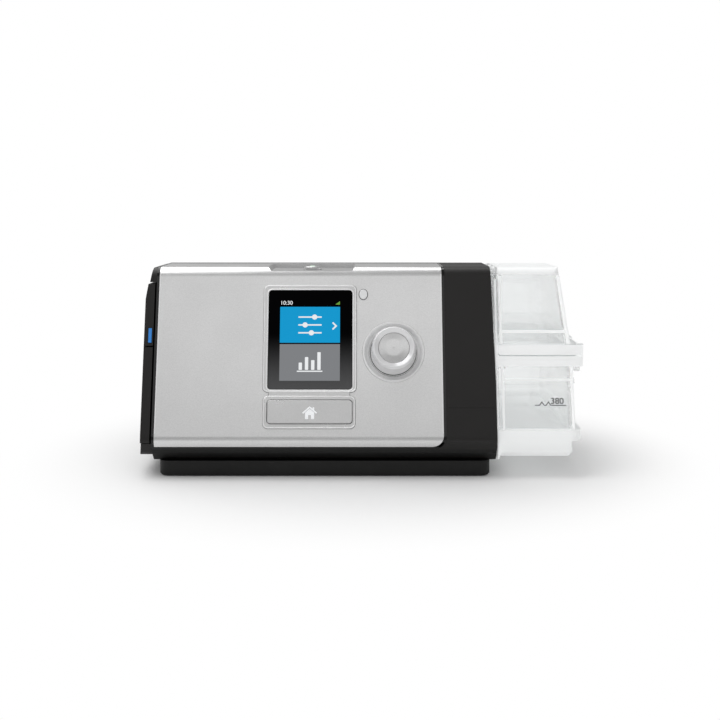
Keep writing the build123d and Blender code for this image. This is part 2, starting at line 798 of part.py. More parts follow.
def barrel_ends(name):
    """Ends of one door's barrel: clear of the shared ear and of the opening's edge."""
    low_z, high_z = door_spans[name]
    if name == "adapter_cover":
        return barrel_line(low_z + gap, ear_low[2] - gap)
    return barrel_line(ear_high[2] + gap, high_z - gap)


def extended(ends, amount):
    """The same line, made longer at both ends."""
    start, end = Vector(*ends[0]), Vector(*ends[1])
    step = (end - start).normalized() * amount
    return (start - step, end + step)


with BuildPart() as hinge_ear_piece:
    add(cover_outer)
    add(cover_inner, mode=Mode.SUBTRACT)
    block(ear_low, ear_high, mode=Mode.INTERSECT)

with BuildPart() as left_cover:
    add(cover_outer)
    add(cover_inner, mode=Mode.SUBTRACT)
    add(door_block(door_low - gap, door_high + gap, 0.15), mode=Mode.SUBTRACT)
    block(
        (-half_width - 1, door_hinge_y - 1, door_low - gap),
        (cover_inner_x, door_hinge_y + door_edge, door_high + gap),
        mode=Mode.SUBTRACT,
    )
    add(hinge_ear_piece.part)
    for name in door_spans:
        rod(*extended(barrel_ends(name), 2.6), door_pin + shaft_fit, mode=Mode.SUBTRACT)
finish(left_cover, "left_cover")

tab_left = -half_width + tab_in_left


def tab_piece(outer, inner, grow):
    """Piece of the door's front wall with the pull tab's outline, between two insets."""
    with BuildPart(mode=Mode.PRIVATE) as piece:
        add(cover_block(outer, cover_inner_x))
        add(cover_block(inner, cover_inner_x + 1), mode=Mode.SUBTRACT)
        block(
            (tab_left - grow, front - 2, tab_low - grow),
            (tab_left + tab_wide + grow, cover_belly_y, tab_low + tab_tall + grow),
            mode=Mode.INTERSECT,
        )
    return piece.part


def side_door(name):
    """A side door: its piece of the curved skin, its hinge barrel and the barrel's pins."""
    low_z, high_z = door_spans[name]
    ends = barrel_ends(name)
    with BuildPart() as door:
        add(door_outer)
        add(cover_inner, mode=Mode.SUBTRACT)
        add(door_block(low_z, high_z), mode=Mode.INTERSECT)
        block(
            (ear_low[0], ear_low[1] - 0.95, ear_low[2] - gap),
            (ear_high[0], ear_high[1], ear_high[2] + gap),
            mode=Mode.SUBTRACT,
        )
        rod(*ends, door_barrel)
        rod(*extended(ends, 2.2), door_pin)
        if name == "card_door":
            add(tab_piece(-1.0, tab_sink + seat, seat), mode=Mode.SUBTRACT)
    return door


for door_name in door_spans:
    finish(side_door(door_name), door_name)

with BuildPart() as card_door_tab:
    add(tab_piece(-tab_proud, tab_sink, 0))
finish(card_door_tab, "card_door_tab")

# ------------------------------------------------------------------ screen and home button
flange_edge = 1.1
with BuildPart() as control_bezel:
    add(bezel_block(0, -bezel_sink, bezel_sink + bezel_proud))
    fillet(control_bezel.faces().sort_by(outward)[-1].edges(), 0.5)
    plate(
        face.offset(bezel_proud - lens_thick - 0.4),
        (lens_x, lens_up),
        (lens_width + 2 * seat, lens_tall + 2 * seat),
        lens_round,
        lens_thick + 2,
        mode=Mode.SUBTRACT,
    )
    plate(
        face.offset(-bezel_sink - 1),
        (lens_x, lens_up),
        (lens_width - 4, lens_tall - 4),
        lens_round,
        bezel_sink + 2,
        mode=Mode.SUBTRACT,
    )
    plate(
        face.offset(-bezel_sink - 1),
        (lens_x, key_up),
        (lens_width + 2 * gap, key_tall + 2 * gap),
        lens_round + gap,
        bezel_sink + 3,
        mode=Mode.SUBTRACT,
    )
finish(control_bezel, "control_bezel")

with BuildPart() as screen_lens:
    plate(
        face.offset(bezel_proud - lens_thick - 0.4 + seat / 2),
        (lens_x, lens_up),
        (lens_width, lens_tall),
        lens_round,
        lens_thick,
    )
    chamfer(screen_lens.faces().sort_by(outward)[-1].edges(), 0.3)
finish(screen_lens, "screen_lens")

with BuildPart() as lcd_module:
    plate(face.offset(-bezel_sink - seat - 4), (lens_x, lens_up), (lens_width - 3, lens_tall - 2), 1.0, 4)
finish(lcd_module, "lcd_module")

switch_tall = 3.6
switch_well = 2.6
stem_radius = 1.6
well_floor = -board_depth + switch_tall - switch_well
with BuildPart() as home_button:
    plate(
        face.offset(-bezel_sink - 1.2),
        (lens_x, key_up),
        (lens_width, key_tall),
        lens_round,
        bezel_sink + 1.2 + bezel_proud + key_proud,
    )
    fillet(home_button.faces().sort_by(outward)[-1].edges(), 0.5)
    plate(
        face.offset(-bezel_sink - 1.2 - gap),
        (lens_x, key_up),
        (lens_width + 2 * flange_edge, key_tall + 2 * flange_edge),
        lens_round,
        1.2,
    )
    face_rod(lens_x, key_up, well_floor + key_travel + 0.3, -bezel_sink - 1, stem_radius)
finish(home_button, "home_button")

# ------------------------------------------------------------------ dial
dial = Plane(origin=face.from_local_coords((dial_x, dial_up, 0)), x_dir=(1, 0, 0), z_dir=face.z_dir)
# profiles of turned pieces are drawn on a plane through the dial's axis: across, then out
dial_profile = Plane(origin=dial.origin, x_dir=(1, 0, 0), z_dir=-dial.y_dir)
dial_axis = Axis(dial.origin, dial.z_dir)
hole_radius = knob_radius + knob_flare + 0.8
knob_foot = -dish_depth + 1.0


def turned(points, rounds):
    """Ring turned about the dial's axis from a closed profile of (radius, height) points."""
    with BuildSketch(dial_profile, mode=Mode.PRIVATE) as section:
        with BuildLine():
            FilletPolyline(*points, radius=rounds, close=True)
        make_face()
    return revolve(section.sketch, axis=dial_axis, mode=Mode.PRIVATE)


with BuildPart() as dial_bezel:
    add(
        turned(
            [
                (hole_radius, -panel_inset),
                (dish_radius, -panel_inset),
                (dish_radius, 0.4),
                (dish_radius - 1.0, 0.4),
                (hole_radius + 1.2, -dish_depth + 1.0),
                (hole_radius, -dish_depth + 0.4),
            ],
            [0, 0, 0.3, 0.4, 1.0, 0.3],
        )
    )
finish(dial_bezel, "dial_bezel")

shaft_radius = 3.0
cap_seat = knob_height - 3.4
with BuildPart() as dial_ring:
    add(
        turned(
            [
                (knob_radius + knob_flare - knob_wall, knob_foot),
                (knob_radius + knob_flare, knob_foot),
                (knob_radius + 0.1, knob_height - 1.6),
                (knob_radius - 0.8, knob_height),
                (cap_radius + seat, knob_height - 1.5),
                (cap_radius + seat, cap_seat),
                (knob_radius - knob_wall, cap_seat - 1.4),
            ],
            [0, 0.3, 1.6, 0.5, 0.3, 0, 0],
        )
    )
    face_rod(dial_x, dial_up, cap_seat - 1.6, cap_seat, knob_radius - knob_wall + 0.4)
    face_rod(dial_x, dial_up, 1.0, cap_seat, shaft_radius + 2)
    face_rod(dial_x, dial_up, 0, cap_seat - 1.0, shaft_radius, mode=Mode.SUBTRACT)
finish(dial_ring, "dial_ring")

with BuildPart() as dial_cap:
    add(
        turned(
            [
                (0.0, cap_seat),
                (cap_radius, cap_seat),
                (cap_radius, knob_height - 1.6),
                (cap_radius * 0.55, knob_height - 1.0),
                (0.0, knob_height - 0.9),
            ],
            [0, 0, 0.3, 12.0, 0],
        )
    )
finish(dial_cap, "dial_cap")

sleeve_radius = 4.5
sleeve_top = -2.6
sleeve_low = -board_depth + 3.0
with BuildPart() as encoder_body:
    with BuildSketch(face.offset(-board_depth)) as base:
        with Locations((dial_x, dial_up)):
            Rectangle(encoder_size, encoder_size)
    extrude(amount=6.0)
    face_rod(dial_x, dial_up, -board_depth, sleeve_top + 0.4, sleeve_radius + 1.5)
    face_rod(
        dial_x,
        dial_up,
        sleeve_low - dial_travel - 0.4,
        sleeve_top + 1,
        sleeve_radius + shaft_fit,
        mode=Mode.SUBTRACT,
    )
finish(encoder_body, "encoder_body")

with BuildPart() as encoder_plunger:
    face_rod(dial_x, dial_up, sleeve_low, sleeve_top, sleeve_radius)
    face_rod(dial_x, dial_up, sleeve_low + 0.8, sleeve_top + 1, shaft_radius + shaft_fit, mode=Mode.SUBTRACT)
finish(encoder_plunger, "encoder_plunger")

with BuildPart() as encoder_shaft:
    face_rod(dial_x, dial_up, sleeve_low + 0.9, cap_seat - 1.1, shaft_radius)
finish(encoder_shaft, "encoder_shaft")

with BuildPart() as light_sensor_lens:
    with BuildSketch(face.offset(-fascia_wall)) as oval:
        with Locations((sensor_x, sensor_up)):
            Ellipse(sensor_wide / 2, sensor_tall / 2)
    extrude(amount=fascia_wall + 0.7)
    fillet(light_sensor_lens.faces().sort_by(outward)[-1].edges(), 0.5)
finish(light_sensor_lens, "light_sensor_lens")

# ------------------------------------------------------------------ start button
led_radius = 1.7
led_foot = height - 2.0
flange_top = scoop_floor - tray_wall - gap
stem_foot = shelf_z + shelf_thick + switch_tall - switch_well + start_travel + 0.3
with BuildPart() as start_button:
    rod((start_x, start_y, flange_top - 1.5), (start_x, start_y, height - 0.4), start_radius)
    fillet(start_button.faces().sort_by(Axis.Z)[-1].edges(), 0.8)
    rod((start_x, start_y, flange_top - 1.5), (start_x, start_y, flange_top), start_radius + start_flange)
    rod((start_x, start_y, stem_foot), (start_x, start_y, flange_top), stem_radius)
    rod((start_x, start_y, led_foot), (start_x, start_y, height), led_radius + seat / 2, mode=Mode.SUBTRACT)
finish(start_button, "start_button")

with BuildPart() as status_led:
    rod((start_x, start_y, led_foot), (start_x, start_y, height - 0.1), led_radius)
    fillet(status_led.faces().sort_by(Axis.Z)[-1].edges(), 0.5)
finish(status_led, "status_led")

# ------------------------------------------------------------------ boards and switches
with BuildPart() as control_board:
    with BuildSketch(face.offset(-board_depth - board_thick)) as outline:
        with Locations(((board_left + board_right) / 2, (board_low + board_high) / 2)):
            RectangleRounded(board_right - board_left, board_high - board_low, 2)
    extrude(amount=board_thick)
finish(control_board, "control_board")

with BuildPart() as tact_switches:
    with BuildSketch(face.offset(-board_depth)) as footprint:
        with Locations((lens_x, key_up)):
            RectangleRounded(switch_size, switch_size, 0.5)
    extrude(amount=switch_tall)
    face_rod(lens_x, key_up, well_floor, switch_tall - board_depth + 1, stem_radius + gap, mode=Mode.SUBTRACT)
    block(
        (start_x - switch_size / 2, start_y - switch_size / 2, shelf_z + shelf_thick),
        (start_x + switch_size / 2, start_y + switch_size / 2, shelf_z + shelf_thick + switch_tall),
    )
    rod(
        (start_x, start_y, shelf_z + shelf_thick + switch_tall - switch_well),
        (start_x, start_y, height),
        stem_radius + gap,
        mode=Mode.SUBTRACT,
    )
finish(tact_switches, "tact_switches")

board_top = main_board_z + board_thick
chip_size = 14.0
with BuildPart() as main_board:
    block((main_board_left, main_board_front, main_board_z), (main_board_right, main_board_back, board_top))
    chip_x = main_board_right - chip_size
    with Locations((chip_x, main_board_front + chip_size / 2 + 1, board_top)):
        Box(chip_size, chip_size, 1.6, align=(Align.CENTER, Align.CENTER, Align.MIN))
    with Locations((chip_x, main_board_back - chip_size / 2 + 1, board_top)):
        Box(chip_size - 4, chip_size - 4, 1.2, align=(Align.CENTER, Align.CENTER, Align.MIN))
finish(main_board, "main_board")

slot_floor = board_top + 0.8
card_low = (casing_left - card_proud, card_y - card_width / 2, slot_floor + 0.2)
card_high = (casing_left - card_proud + card_length, card_y + card_width / 2, slot_floor + 0.2 + card_thick)
with BuildPart() as card_slot:
    block(
        (casing_left + wall + 1, card_low[1] - 2, board_top),
        (card_high[0] + card_travel + 2, card_high[1] + 2, card_high[2] + 1.2),
    )
    block(
        (casing_left, card_low[1] - 0.3, slot_floor),
        (card_high[0] + card_travel + 0.5, card_high[1] + 0.3, card_high[2] + 0.2),
        mode=Mode.SUBTRACT,
    )
finish(card_slot, "card_slot")

with BuildPart() as sd_card:
    block(card_low, card_high)
    chamfer(sd_card.edges().filter_by(Axis.Z).sort_by(Axis.X)[-1], 3.0)
finish(sd_card, "sd_card")

# ------------------------------------------------------------------ power inlet and its clip
inlet_tail = pocket_low[1] - wall - 9
with BuildPart() as power_inlet:
    rod((power_x, inlet_tail, power_z), (power_x, pocket_low[1] + 1.2, power_z), power_radius)
    rod((power_x, pocket_low[1] + seat, power_z), (power_x, pocket_low[1] + 1.2, power_z), power_radius + 1.4)
    rod((power_x, inlet_tail + 2, power_z), (power_x, back, power_z), power_bore, mode=Mode.SUBTRACT)
    rod((power_x, inlet_tail + 1, power_z), (power_x, pocket_low[1] - 2, power_z), 0.9)
finish(power_inlet, "power_inlet")

with BuildPart() as power_board:
    block((power_x - 16, inlet_tail - 1.6, body_floor + wall), (power_x + 16, inlet_tail, power_z + 12))
    block(
        (power_x - 12, inlet_tail - 7, body_floor + wall + 4),
        (power_x - 3, inlet_tail - 1.6, body_floor + wall + 14),
    )
finish(power_board, "power_board")

clip_y = back - 2.6
clip_z = pocket_high[2] - 3.2
clip_half = pocket_width / 2 - gap - 0.2
clip_bar = 2.4
clip_foot = power_z - power_radius - 1.0
with BuildPart() as retention_clip:
    rod((power_x - clip_half, clip_y, clip_z), (power_x + clip_half, clip_y, clip_z), 2.2)
    for side in (-1, 1):
        edge = power_x + side * (clip_half - clip_bar / 2)
        block((edge - clip_bar / 2, clip_y - 1.2, clip_foot), (edge + clip_bar / 2, clip_y + 1.2, clip_z))
    block(
        (power_x - clip_half, clip_y - 1.2, clip_foot - 1.4),
        (power_x + clip_half, clip_y + 1.2, clip_foot + 1.4),
    )
    rod(
        (power_x - pocket_width, clip_y, clip_z),
        (power_x + pocket_width, clip_y, clip_z),
        clip_pin_radius + shaft_fit,
        mode=Mode.SUBTRACT,
    )
finish(retention_clip, "retention_clip")

with BuildPart() as clip_pin:
    rod(
        (pocket_low[0], clip_y, clip_z),
        (pocket_high[0], clip_y, clip_z),
        clip_pin_radius,
    )
finish(clip_pin, "clip_pin")

# ------------------------------------------------------------------ air filter and muffler
with BuildPart() as filter_cover:
    block((filter_left, back - filter_plate, filter_low), (filter_right, back, filter_high))
    rod((*filter_axis, filter_low), (*filter_axis, filter_high), filter_barrel)
    rod((*filter_axis, filter_low - gap - 2), (*filter_axis, filter_high + gap + 2), door_pin)
    with Locations(Plane(origin=((filter_left + filter_right) / 2, back, (filter_low + filter_high) / 2))):
        with GridLocations(7.0, 1, 5, 1):
            Box(3.6, 3 * filter_plate, filter_high - filter_low - 10, mode=Mode.SUBTRACT)
    block(
        (filter_right - 5, back - 0.8, (filter_low + filter_high) / 2 - 5),
        (filter_right + 1, back + 1, (filter_low + filter_high) / 2 + 5),
        mode=Mode.SUBTRACT,
    )
finish(filter_cover, "filter_cover")

filter_seat = 3.0
blower_spot = (blower_x, blower_y)
with BuildPart() as muffler_box:
    block((muffler_left, muffler_front, muffler_low), (muffler_right, muffler_back, muffler_high))
    block(
        (muffler_left + muffler_wall, muffler_front + muffler_wall, muffler_low + muffler_wall),
        (muffler_right - muffler_wall, muffler_back - muffler_wall, muffler_high - muffler_wall),
        mode=Mode.SUBTRACT,
    )
    block(
        (filter_left + filter_seat, muffler_back - 1, filter_low + 2),
        (filter_right - 1, back - filter_plate - 0.4, filter_high - 2),
    )
    block(
        (filter_left + filter_seat + 1.2, muffler_back - 6, filter_low + 3.2),
        (filter_right - 2.2, back, filter_high - 3.2),
        mode=Mode.SUBTRACT,
    )
    rod(
        (*blower_spot, muffler_low + 3),
        (*blower_spot, muffler_low - 1),
        inlet_radius - 1,
        mode=Mode.SUBTRACT,
    )
finish(muffler_box, "muffler_box")

with BuildPart() as air_filter:
    block(
        (filter_left + filter_seat + 1.4, muffler_back - 1.5, filter_low + 3.4),
        (filter_right - 2.4, back - filter_plate - 0.6, filter_high - 3.4),
    )
finish(air_filter, "air_filter")

with BuildPart() as muffler_foam:
    for low_y in (muffler_front + muffler_wall + seat, blower_y + inlet_radius + 3):
        block(
            (muffler_left + muffler_wall + seat, low_y, muffler_low + muffler_wall + seat),
            (blower_x - inlet_radius - 4, low_y + 12, muffler_high - 8),
        )
finish(muffler_foam, "muffler_foam")

# ------------------------------------------------------------------ blower
spout_y = inlet_y
spout_end = blower_x + blower_radius + 1
with BuildPart() as blower_shape:
    rod((*blower_spot, blower_low), (*blower_spot, blower_high), blower_radius)
    rod((blower_x, spout_y, inlet_z), (spout_end, spout_y, inlet_z), duct_radius + 1)
with BuildPart() as blower_room:
    rod(
        (*blower_spot, blower_low + blower_wall),
        (*blower_spot, blower_high - blower_wall),
        blower_radius - blower_wall,
    )
    rod((blower_x, spout_y, inlet_z), (spout_end + 1, spout_y, inlet_z), duct_radius - duct_wall)
motor_low = blower_low + blower_wall + seat
motor_top = motor_low + motor_height
with BuildPart() as blower_lower:
    add(blower_shape.part)
    add(blower_room.part, mode=Mode.SUBTRACT)
    block(
        (blower_x - width, -depth, blower_split),
        (blower_x + width, depth, blower_high + 1),
        mode=Mode.SUBTRACT,
    )
finish(blower_lower, "blower_lower")

with BuildPart() as blower_upper:
    add(blower_shape.part)
    add(blower_room.part, mode=Mode.SUBTRACT)
    block(
        (blower_x - width, -depth, blower_low - 1),
        (blower_x + width, depth, blower_split + seat),
        mode=Mode.SUBTRACT,
    )
    rod((*blower_spot, blower_split), (*blower_spot, muffler_low - seat), inlet_radius + 1)
    rod((*blower_spot, blower_split), (*blower_spot, blower_high + 9), inlet_radius - 1, mode=Mode.SUBTRACT)
    rod(
        (*blower_spot, blower_split - 1),
        (*blower_spot, blower_high - blower_wall),
        blower_radius - blower_wall,
        mode=Mode.SUBTRACT,
    )
finish(blower_upper, "blower_upper")

impeller_low = motor_top + 1.2
impeller_tall = blower_high - blower_wall - impeller_low - 1.2
with BuildPart() as impeller:
    rod((*blower_spot, impeller_low), (*blower_spot, impeller_low + 1.5), impeller_radius)
    rod((*blower_spot, impeller_low), (*blower_spot, impeller_low + impeller_tall - 2), 5.0)
    with BuildSketch(Plane.XY.offset(impeller_low)) as blades:
        with Locations((blower_x, blower_y)):
            with PolarLocations(0, impeller_blades):
                with Locations(Location((impeller_radius / 2 + 1, 0), 25)):
                    Rectangle(impeller_radius - 7, 1.2)
    extrude(amount=impeller_tall)
    rod(
        (*blower_spot, impeller_low - 1),
        (*blower_spot, impeller_low + impeller_tall),
        motor_shaft_radius,
        mode=Mode.SUBTRACT,
    )
finish(impeller, "impeller")

bearing_radius = 4.0
bearing_tall = 2.5
with BuildPart() as motor_can:
    rod((*blower_spot, motor_low), (*blower_spot, motor_top), motor_radius)
    rod((*blower_spot, motor_low + 2), (*blower_spot, motor_top), bearing_radius, mode=Mode.SUBTRACT)
finish(motor_can, "motor_can")

with BuildPart() as motor_bearings:
    for low_z in (motor_low + 2, motor_top - bearing_tall):
        rod((*blower_spot, low_z), (*blower_spot, low_z + bearing_tall), bearing_radius - 0.02)
        rod(
            (*blower_spot, low_z - 1),
            (*blower_spot, low_z + bearing_tall + 1),
            motor_shaft_radius + shaft_fit,
            mode=Mode.SUBTRACT,
        )
finish(motor_bearings, "motor_bearings")

with BuildPart() as motor_shaft:
    rod(
        (*blower_spot, motor_low + 2.3),
        (*blower_spot, impeller_low + impeller_tall - 2.5),
        motor_shaft_radius,
    )
finish(motor_shaft, "motor_shaft")

with BuildPart() as blower_mounts:
    for x, y in blower_feet:
        rod((x, y, blower_low - mount_tall + seat / 2), (x, y, blower_low - seat / 2), mount_radius)
finish(blower_mounts, "blower_mounts")

# ------------------------------------------------------------------ ducts and air outlet
with BuildPart() as flow_duct:
    rod((spout_end + seat, inlet_y, inlet_z), (bay_left - seat, inlet_y, inlet_z), duct_radius)
    rod(
        (spout_end, inlet_y, inlet_z),
        (bay_left, inlet_y, inlet_z),
        duct_radius - duct_wall,
        mode=Mode.SUBTRACT,
    )
finish(flow_duct, "flow_duct")

duct_bend = 10.0
with BuildPart() as outlet_duct:
    with BuildLine() as route:
        FilletPolyline(
            (bay_left - seat, outlet_y, outlet_z),
            (outlet_x, outlet_y, outlet_z),
            (outlet_x, depth / 2 - outlet_length - seat, outlet_z),
            radius=duct_bend,
        )
    with BuildSketch(Plane(origin=route.line @ 0, z_dir=route.line % 0)):
        Circle(duct_radius)
        Circle(duct_radius - duct_wall, mode=Mode.SUBTRACT)
    sweep()
finish(outlet_duct, "outlet_duct")

with BuildPart() as air_outlet:
    rod((outlet_x, depth / 2 - outlet_length, outlet_z), (outlet_x, depth / 2, outlet_z), outlet_radius)
    rod((outlet_x, depth / 2 - outlet_length, outlet_z), (outlet_x, back, outlet_z), outlet_root)
    rod((outlet_x, back - wall - 2.5, outlet_z), (outlet_x, back - wall - seat, outlet_z), outlet_radius + 2)
    rod(
        (outlet_x, depth / 2 - outlet_length - 1, outlet_z),
        (outlet_x, depth / 2 + 1, outlet_z),
        outlet_radius - outlet_wall,
        mode=Mode.SUBTRACT,
    )
finish(air_outlet, "air_outlet")

ports = [(inlet_y, inlet_z), (outlet_y, outlet_z)]
with BuildPart() as port_seals:
    for y, z in ports:
        rod((bay_left + liner_wall + seat, y, z), (chamber_left - gap, y, z), port_radius + 2)
        rod((bay_left, y, z), (chamber_left, y, z), port_radius, mode=Mode.SUBTRACT)
finish(port_seals, "port_seals")

# ------------------------------------------------------------------ docking bay and heater
with BuildPart() as dock_liner:
    block(
        (bay_left, bay_front - liner_wall, bay_low - liner_wall),
        (wall_inside - right_lean - seat, bay_back + liner_wall, bay_high + liner_wall),
    )
    block((bay_left + liner_wall, bay_front, bay_low), (casing_right, bay_back, bay_high), mode=Mode.SUBTRACT)
    for y, z in ports:
        rod((bay_left - 1, y, z), (chamber_left, y, z), duct_radius - duct_wall, mode=Mode.SUBTRACT)
    for x, y in heater_spots:
        rod((x, y, bay_low - 5), (x, y, bay_low + 1), heater_stem + shaft_fit, mode=Mode.SUBTRACT)
finish(dock_liner, "dock_liner")

with BuildPart() as heater_plate:
    plate(
        Plane.XY.offset(heater_top - heater_thick),
        ((chamber_left + wall_inside) / 2 - 1, (chamber_front + chamber_back) / 2),
        (wall_inside - chamber_left - 10, chamber_back - chamber_front - 10),
        8,
        heater_thick,
    )
    for x, y in heater_spots:
        rod((x, y, bay_low - 1.2), (x, y, heater_top - heater_thick + 0.5), heater_stem)
finish(heater_plate, "heater_plate")

spring_radius = 2.4
spring_tall = heater_top - heater_thick - bay_low - 2 * spring_wire - 2 * seat
with BuildPart() as heater_springs:
    for x, y in heater_spots:
        start = (x, y, bay_low + spring_wire + seat)
        with BuildLine() as coil:
            Helix(pitch=spring_tall / 2.5, height=spring_tall, radius=spring_radius, center=start)
        with BuildSketch(Plane(origin=coil.line @ 0, z_dir=coil.line % 0)) as wire:
            Circle(spring_wire)
        sweep(wire.sketch, path=coil.line)
finish(heater_springs, "heater_springs")

# ------------------------------------------------------------------ water tub
tub_points = [
    (front + sole_y + 2, tub_foot_z),
    (face_y(tub_foot_z + tub_chin, tub_face) + 1.5, tub_foot_z + tub_chin),
    (face_y(tub_top, tub_face), tub_top),
    (top_break_y, tub_top),
    (tub_back, tub_top - back_drop * (tub_back - top_break_y) / (back - top_break_y)),
    (tub_back, tub_foot_z),
]
tub_rounds = [2.0, 2.0, 6.0, 60.0, 8.0, 4.0]
base_top = flange_split - 0.3
lid_foot = flange_split + 0.4
latch_x = half_width - 1.5
notch_x = latch_x - latch_barrel - 0.4
hook_top = flange_low - 1.2
hook_tip = notch_x - 0.9
ledge_right = lid_left + tub_wall + 1.5
seal_out = 1.0               # the seal lies this far outside the tub's body
seal_right = body_right + seal_out
tier_left = bulkhead_right - 0.5


def tub_block(x_from, x_to, inset, low_z, high_z):
    """Solid of the tub's side outline, set in by inset, between two X and two heights."""
    with BuildSketch(Plane.YZ.offset(x_from), mode=Mode.PRIVATE) as outline:
        with BuildLine():
            FilletPolyline(*tub_points, radius=tub_rounds, close=True)
        make_face()
        if inset:
            offset(amount=-inset, kind=Kind.INTERSECTION)
    with BuildPart(mode=Mode.PRIVATE) as solid:
        extrude(outline.sketch, amount=x_to - x_from)
        block((x_from, front - 5, low_z), (x_to, depth, high_z), mode=Mode.INTERSECT)
    return solid.part


def tier(x_from, right, inset, low_z, high_z, corner):
    """One tier of the tub with its two upright right-hand corners rounded."""
    with BuildPart(mode=Mode.PRIVATE) as body:
        add(tub_block(x_from, right, inset, low_z, high_z))
        upright = body.faces().sort_by(Axis.X)[-1].edges().sort_by(Axis.Y)
        fillet([upright[0], upright[-1]], corner)
    return body.part


def flange_tier(low_z, high_z):
    """Flange around the tub, flush with the casing's face, with a wide front corner."""
    outset = tub_back + flange_proud
    with BuildSketch(Plane.XY, mode=Mode.PRIVATE) as outline:
        with BuildLine():
            FilletPolyline(
                (lid_left - 5, flange_front - flange_corner),
                (half_width, flange_front - flange_corner),
                (half_width, outset),
                (lid_left - 5, outset),
                radius=[0, flange_corner, 12, 0],
                close=True,
            )
        make_face()
    with BuildPart(mode=Mode.PRIVATE) as body:
        add(tub_block(tier_left, half_width, -flange_proud, low_z, high_z))
        extrude(outline.sketch, amount=height, mode=Mode.INTERSECT)
        block(
            (notch_x, latch_y[0] - gap, low_z - 1),
            (width, latch_y[1] + gap, high_z + 1),
            mode=Mode.SUBTRACT,
        )
    return body.part


def lid_prism(inset):
    """Prism along the lid's front right edge: leaning face, leaning side and the round between them."""
    edge_run = Vector(-lid_flare / (tub_top - flange_high), slope, 1)
    right = lid_right + lid_flare - inset
    near = face_y(flange_high, tub_face + inset)
    with BuildSketch(Plane.XY.offset(flange_high), mode=Mode.PRIVATE) as outline:
        with BuildLine():
            FilletPolyline(
                (0, near),
                (right, near),
                (right, depth),
                (0, depth),
                radius=[0, tub_corner - 1 - inset, 0, 0],
                close=True,
            )
        make_face()
    return extrude(outline.sketch, amount=height, dir=edge_run, both=True, mode=Mode.PRIVATE)


def seal_ring(grow, low_z, high_z):
    """Band around the tub's opening between two heights, widened by grow on both sides."""
    with BuildPart(mode=Mode.PRIVATE) as ring:
        add(tub_block(lid_left + seat - grow, seal_right + grow, -seal_out - grow, low_z, high_z))
        add(
            tub_block(
                lid_left + seat + seal_width + grow,
                seal_right - seal_width - grow,
                seal_width - seal_out + grow,
                0,
                height,
            ),
            mode=Mode.SUBTRACT,
        )
    return ring.part


with BuildPart() as bulkhead:
    add(tub_block(casing_right - 4, bulkhead_right, 0.4 - flange_proud, tub_foot_z, bulkhead_top))
    add(right_side(0.5), mode=Mode.SUBTRACT)

with BuildPart() as tub_base:
    block(
        (chamber_left, chamber_front, chamber_floor),
        (bulkhead_right, chamber_back, bay_high - chamber_gap),
    )
    add(bulkhead.part)
    add(tier(tier_left, body_right, 0.0, skirt_low, flange_low + 1, tub_corner))
    add(tier(tier_left, foot_right, 0.6, tub_foot_z, skirt_low + 1, 1.5))
    add(flange_tier(flange_low, base_top))
    add(tier(tier_left, skirt_right, 0.4 - flange_proud, skirt_low, skirt_high, tub_corner + 2))
    add(tier(tier_left, body_right + rib_proud, -rib_proud, rib_low, rib_low + rib_tall, tub_corner))
    # rooms for the water, joined under the bulkhead's upper part
    block(
        (chamber_left + tub_wall, chamber_front + tub_wall, chamber_floor + tub_wall),
        (bulkhead_right - tub_wall, chamber_back - tub_wall, bay_high - chamber_gap - tub_wall),
        mode=Mode.SUBTRACT,
    )
    block(
        (bulkhead_right - 6, chamber_front + tub_wall, chamber_floor + tub_wall),
        (bulkhead_right + 6, chamber_back - tub_wall, flange_low - 4),
        mode=Mode.SUBTRACT,
    )
    add(
        tier(
            bulkhead_right,
            body_right - tub_wall,
            tub_wall,
            chamber_floor + tub_wall,
            flange_low - tub_wall,
            tub_corner - tub_wall,
        ),
        mode=Mode.SUBTRACT,
    )
    add(
        tier(
            ledge_right,
            body_right - tub_wall,
            tub_wall,
            flange_low - tub_wall - 1,
            height,
            tub_corner - tub_wall,
        ),
        mode=Mode.SUBTRACT,
    )
    # underside of the outer part is open
    block(
        (bulkhead_right + tub_wall, front + sole_y + 6, tub_foot_z - 1),
        (foot_right - tub_wall, tub_back - 2 * tub_wall, chamber_floor),
        mode=Mode.SUBTRACT,
    )
    add(seal_ring(seat, base_top - 1.0, base_top + 1), mode=Mode.SUBTRACT)
    for y, z in ports:
        rod((chamber_left - 1, y, z), (chamber_left + tub_wall + 1, y, z), port_radius, mode=Mode.SUBTRACT)
    for y in hinge_ears_y:
        block((bulkhead_right - 1, y, bulkhead_top - 4), (hinge_x, y + hinge_ear, hinge_z - 0.5))
        rod((hinge_x, y, hinge_z), (hinge_x, y + hinge_ear, hinge_z), 2.0)
        rod(
            (hinge_x, y - 1, hinge_z),
            (hinge_x, y + hinge_ear + 1, hinge_z),
            hinge_pin + 0.02,
            mode=Mode.SUBTRACT,
        )
finish(tub_base, "tub_base")

with BuildPart() as tub_seal:
    add(seal_ring(0, base_top - 0.95, base_top + 0.4))
finish(tub_seal, "tub_seal")

with BuildPart() as tub_plate:
    plate(
        Plane.XY.offset(chamber_floor - plate_thick),
        ((chamber_left + wall_inside) / 2 - 1, (chamber_front + chamber_back) / 2),
        (wall_inside - chamber_left - 6, chamber_back - chamber_front - 6),
        8,
        plate_thick,
    )
finish(tub_plate, "tub_plate")

lid_step = 1.2
lid_step_z = 80.5


def lid_tier(x_from, inset, low_z, high_z):
    """Part of the lid's outer shape between two heights, set in by inset."""
    with BuildPart(mode=Mode.PRIVATE) as body:
        add(tub_block(x_from, half_width, inset, low_z, high_z))
        add(lid_prism(inset), mode=Mode.INTERSECT)
    return body.part


with BuildPart() as lid_rim:
    add(flange_tier(lid_foot, flange_high))
    block((0, front - 5, 0), (lid_left, depth, height), mode=Mode.SUBTRACT)

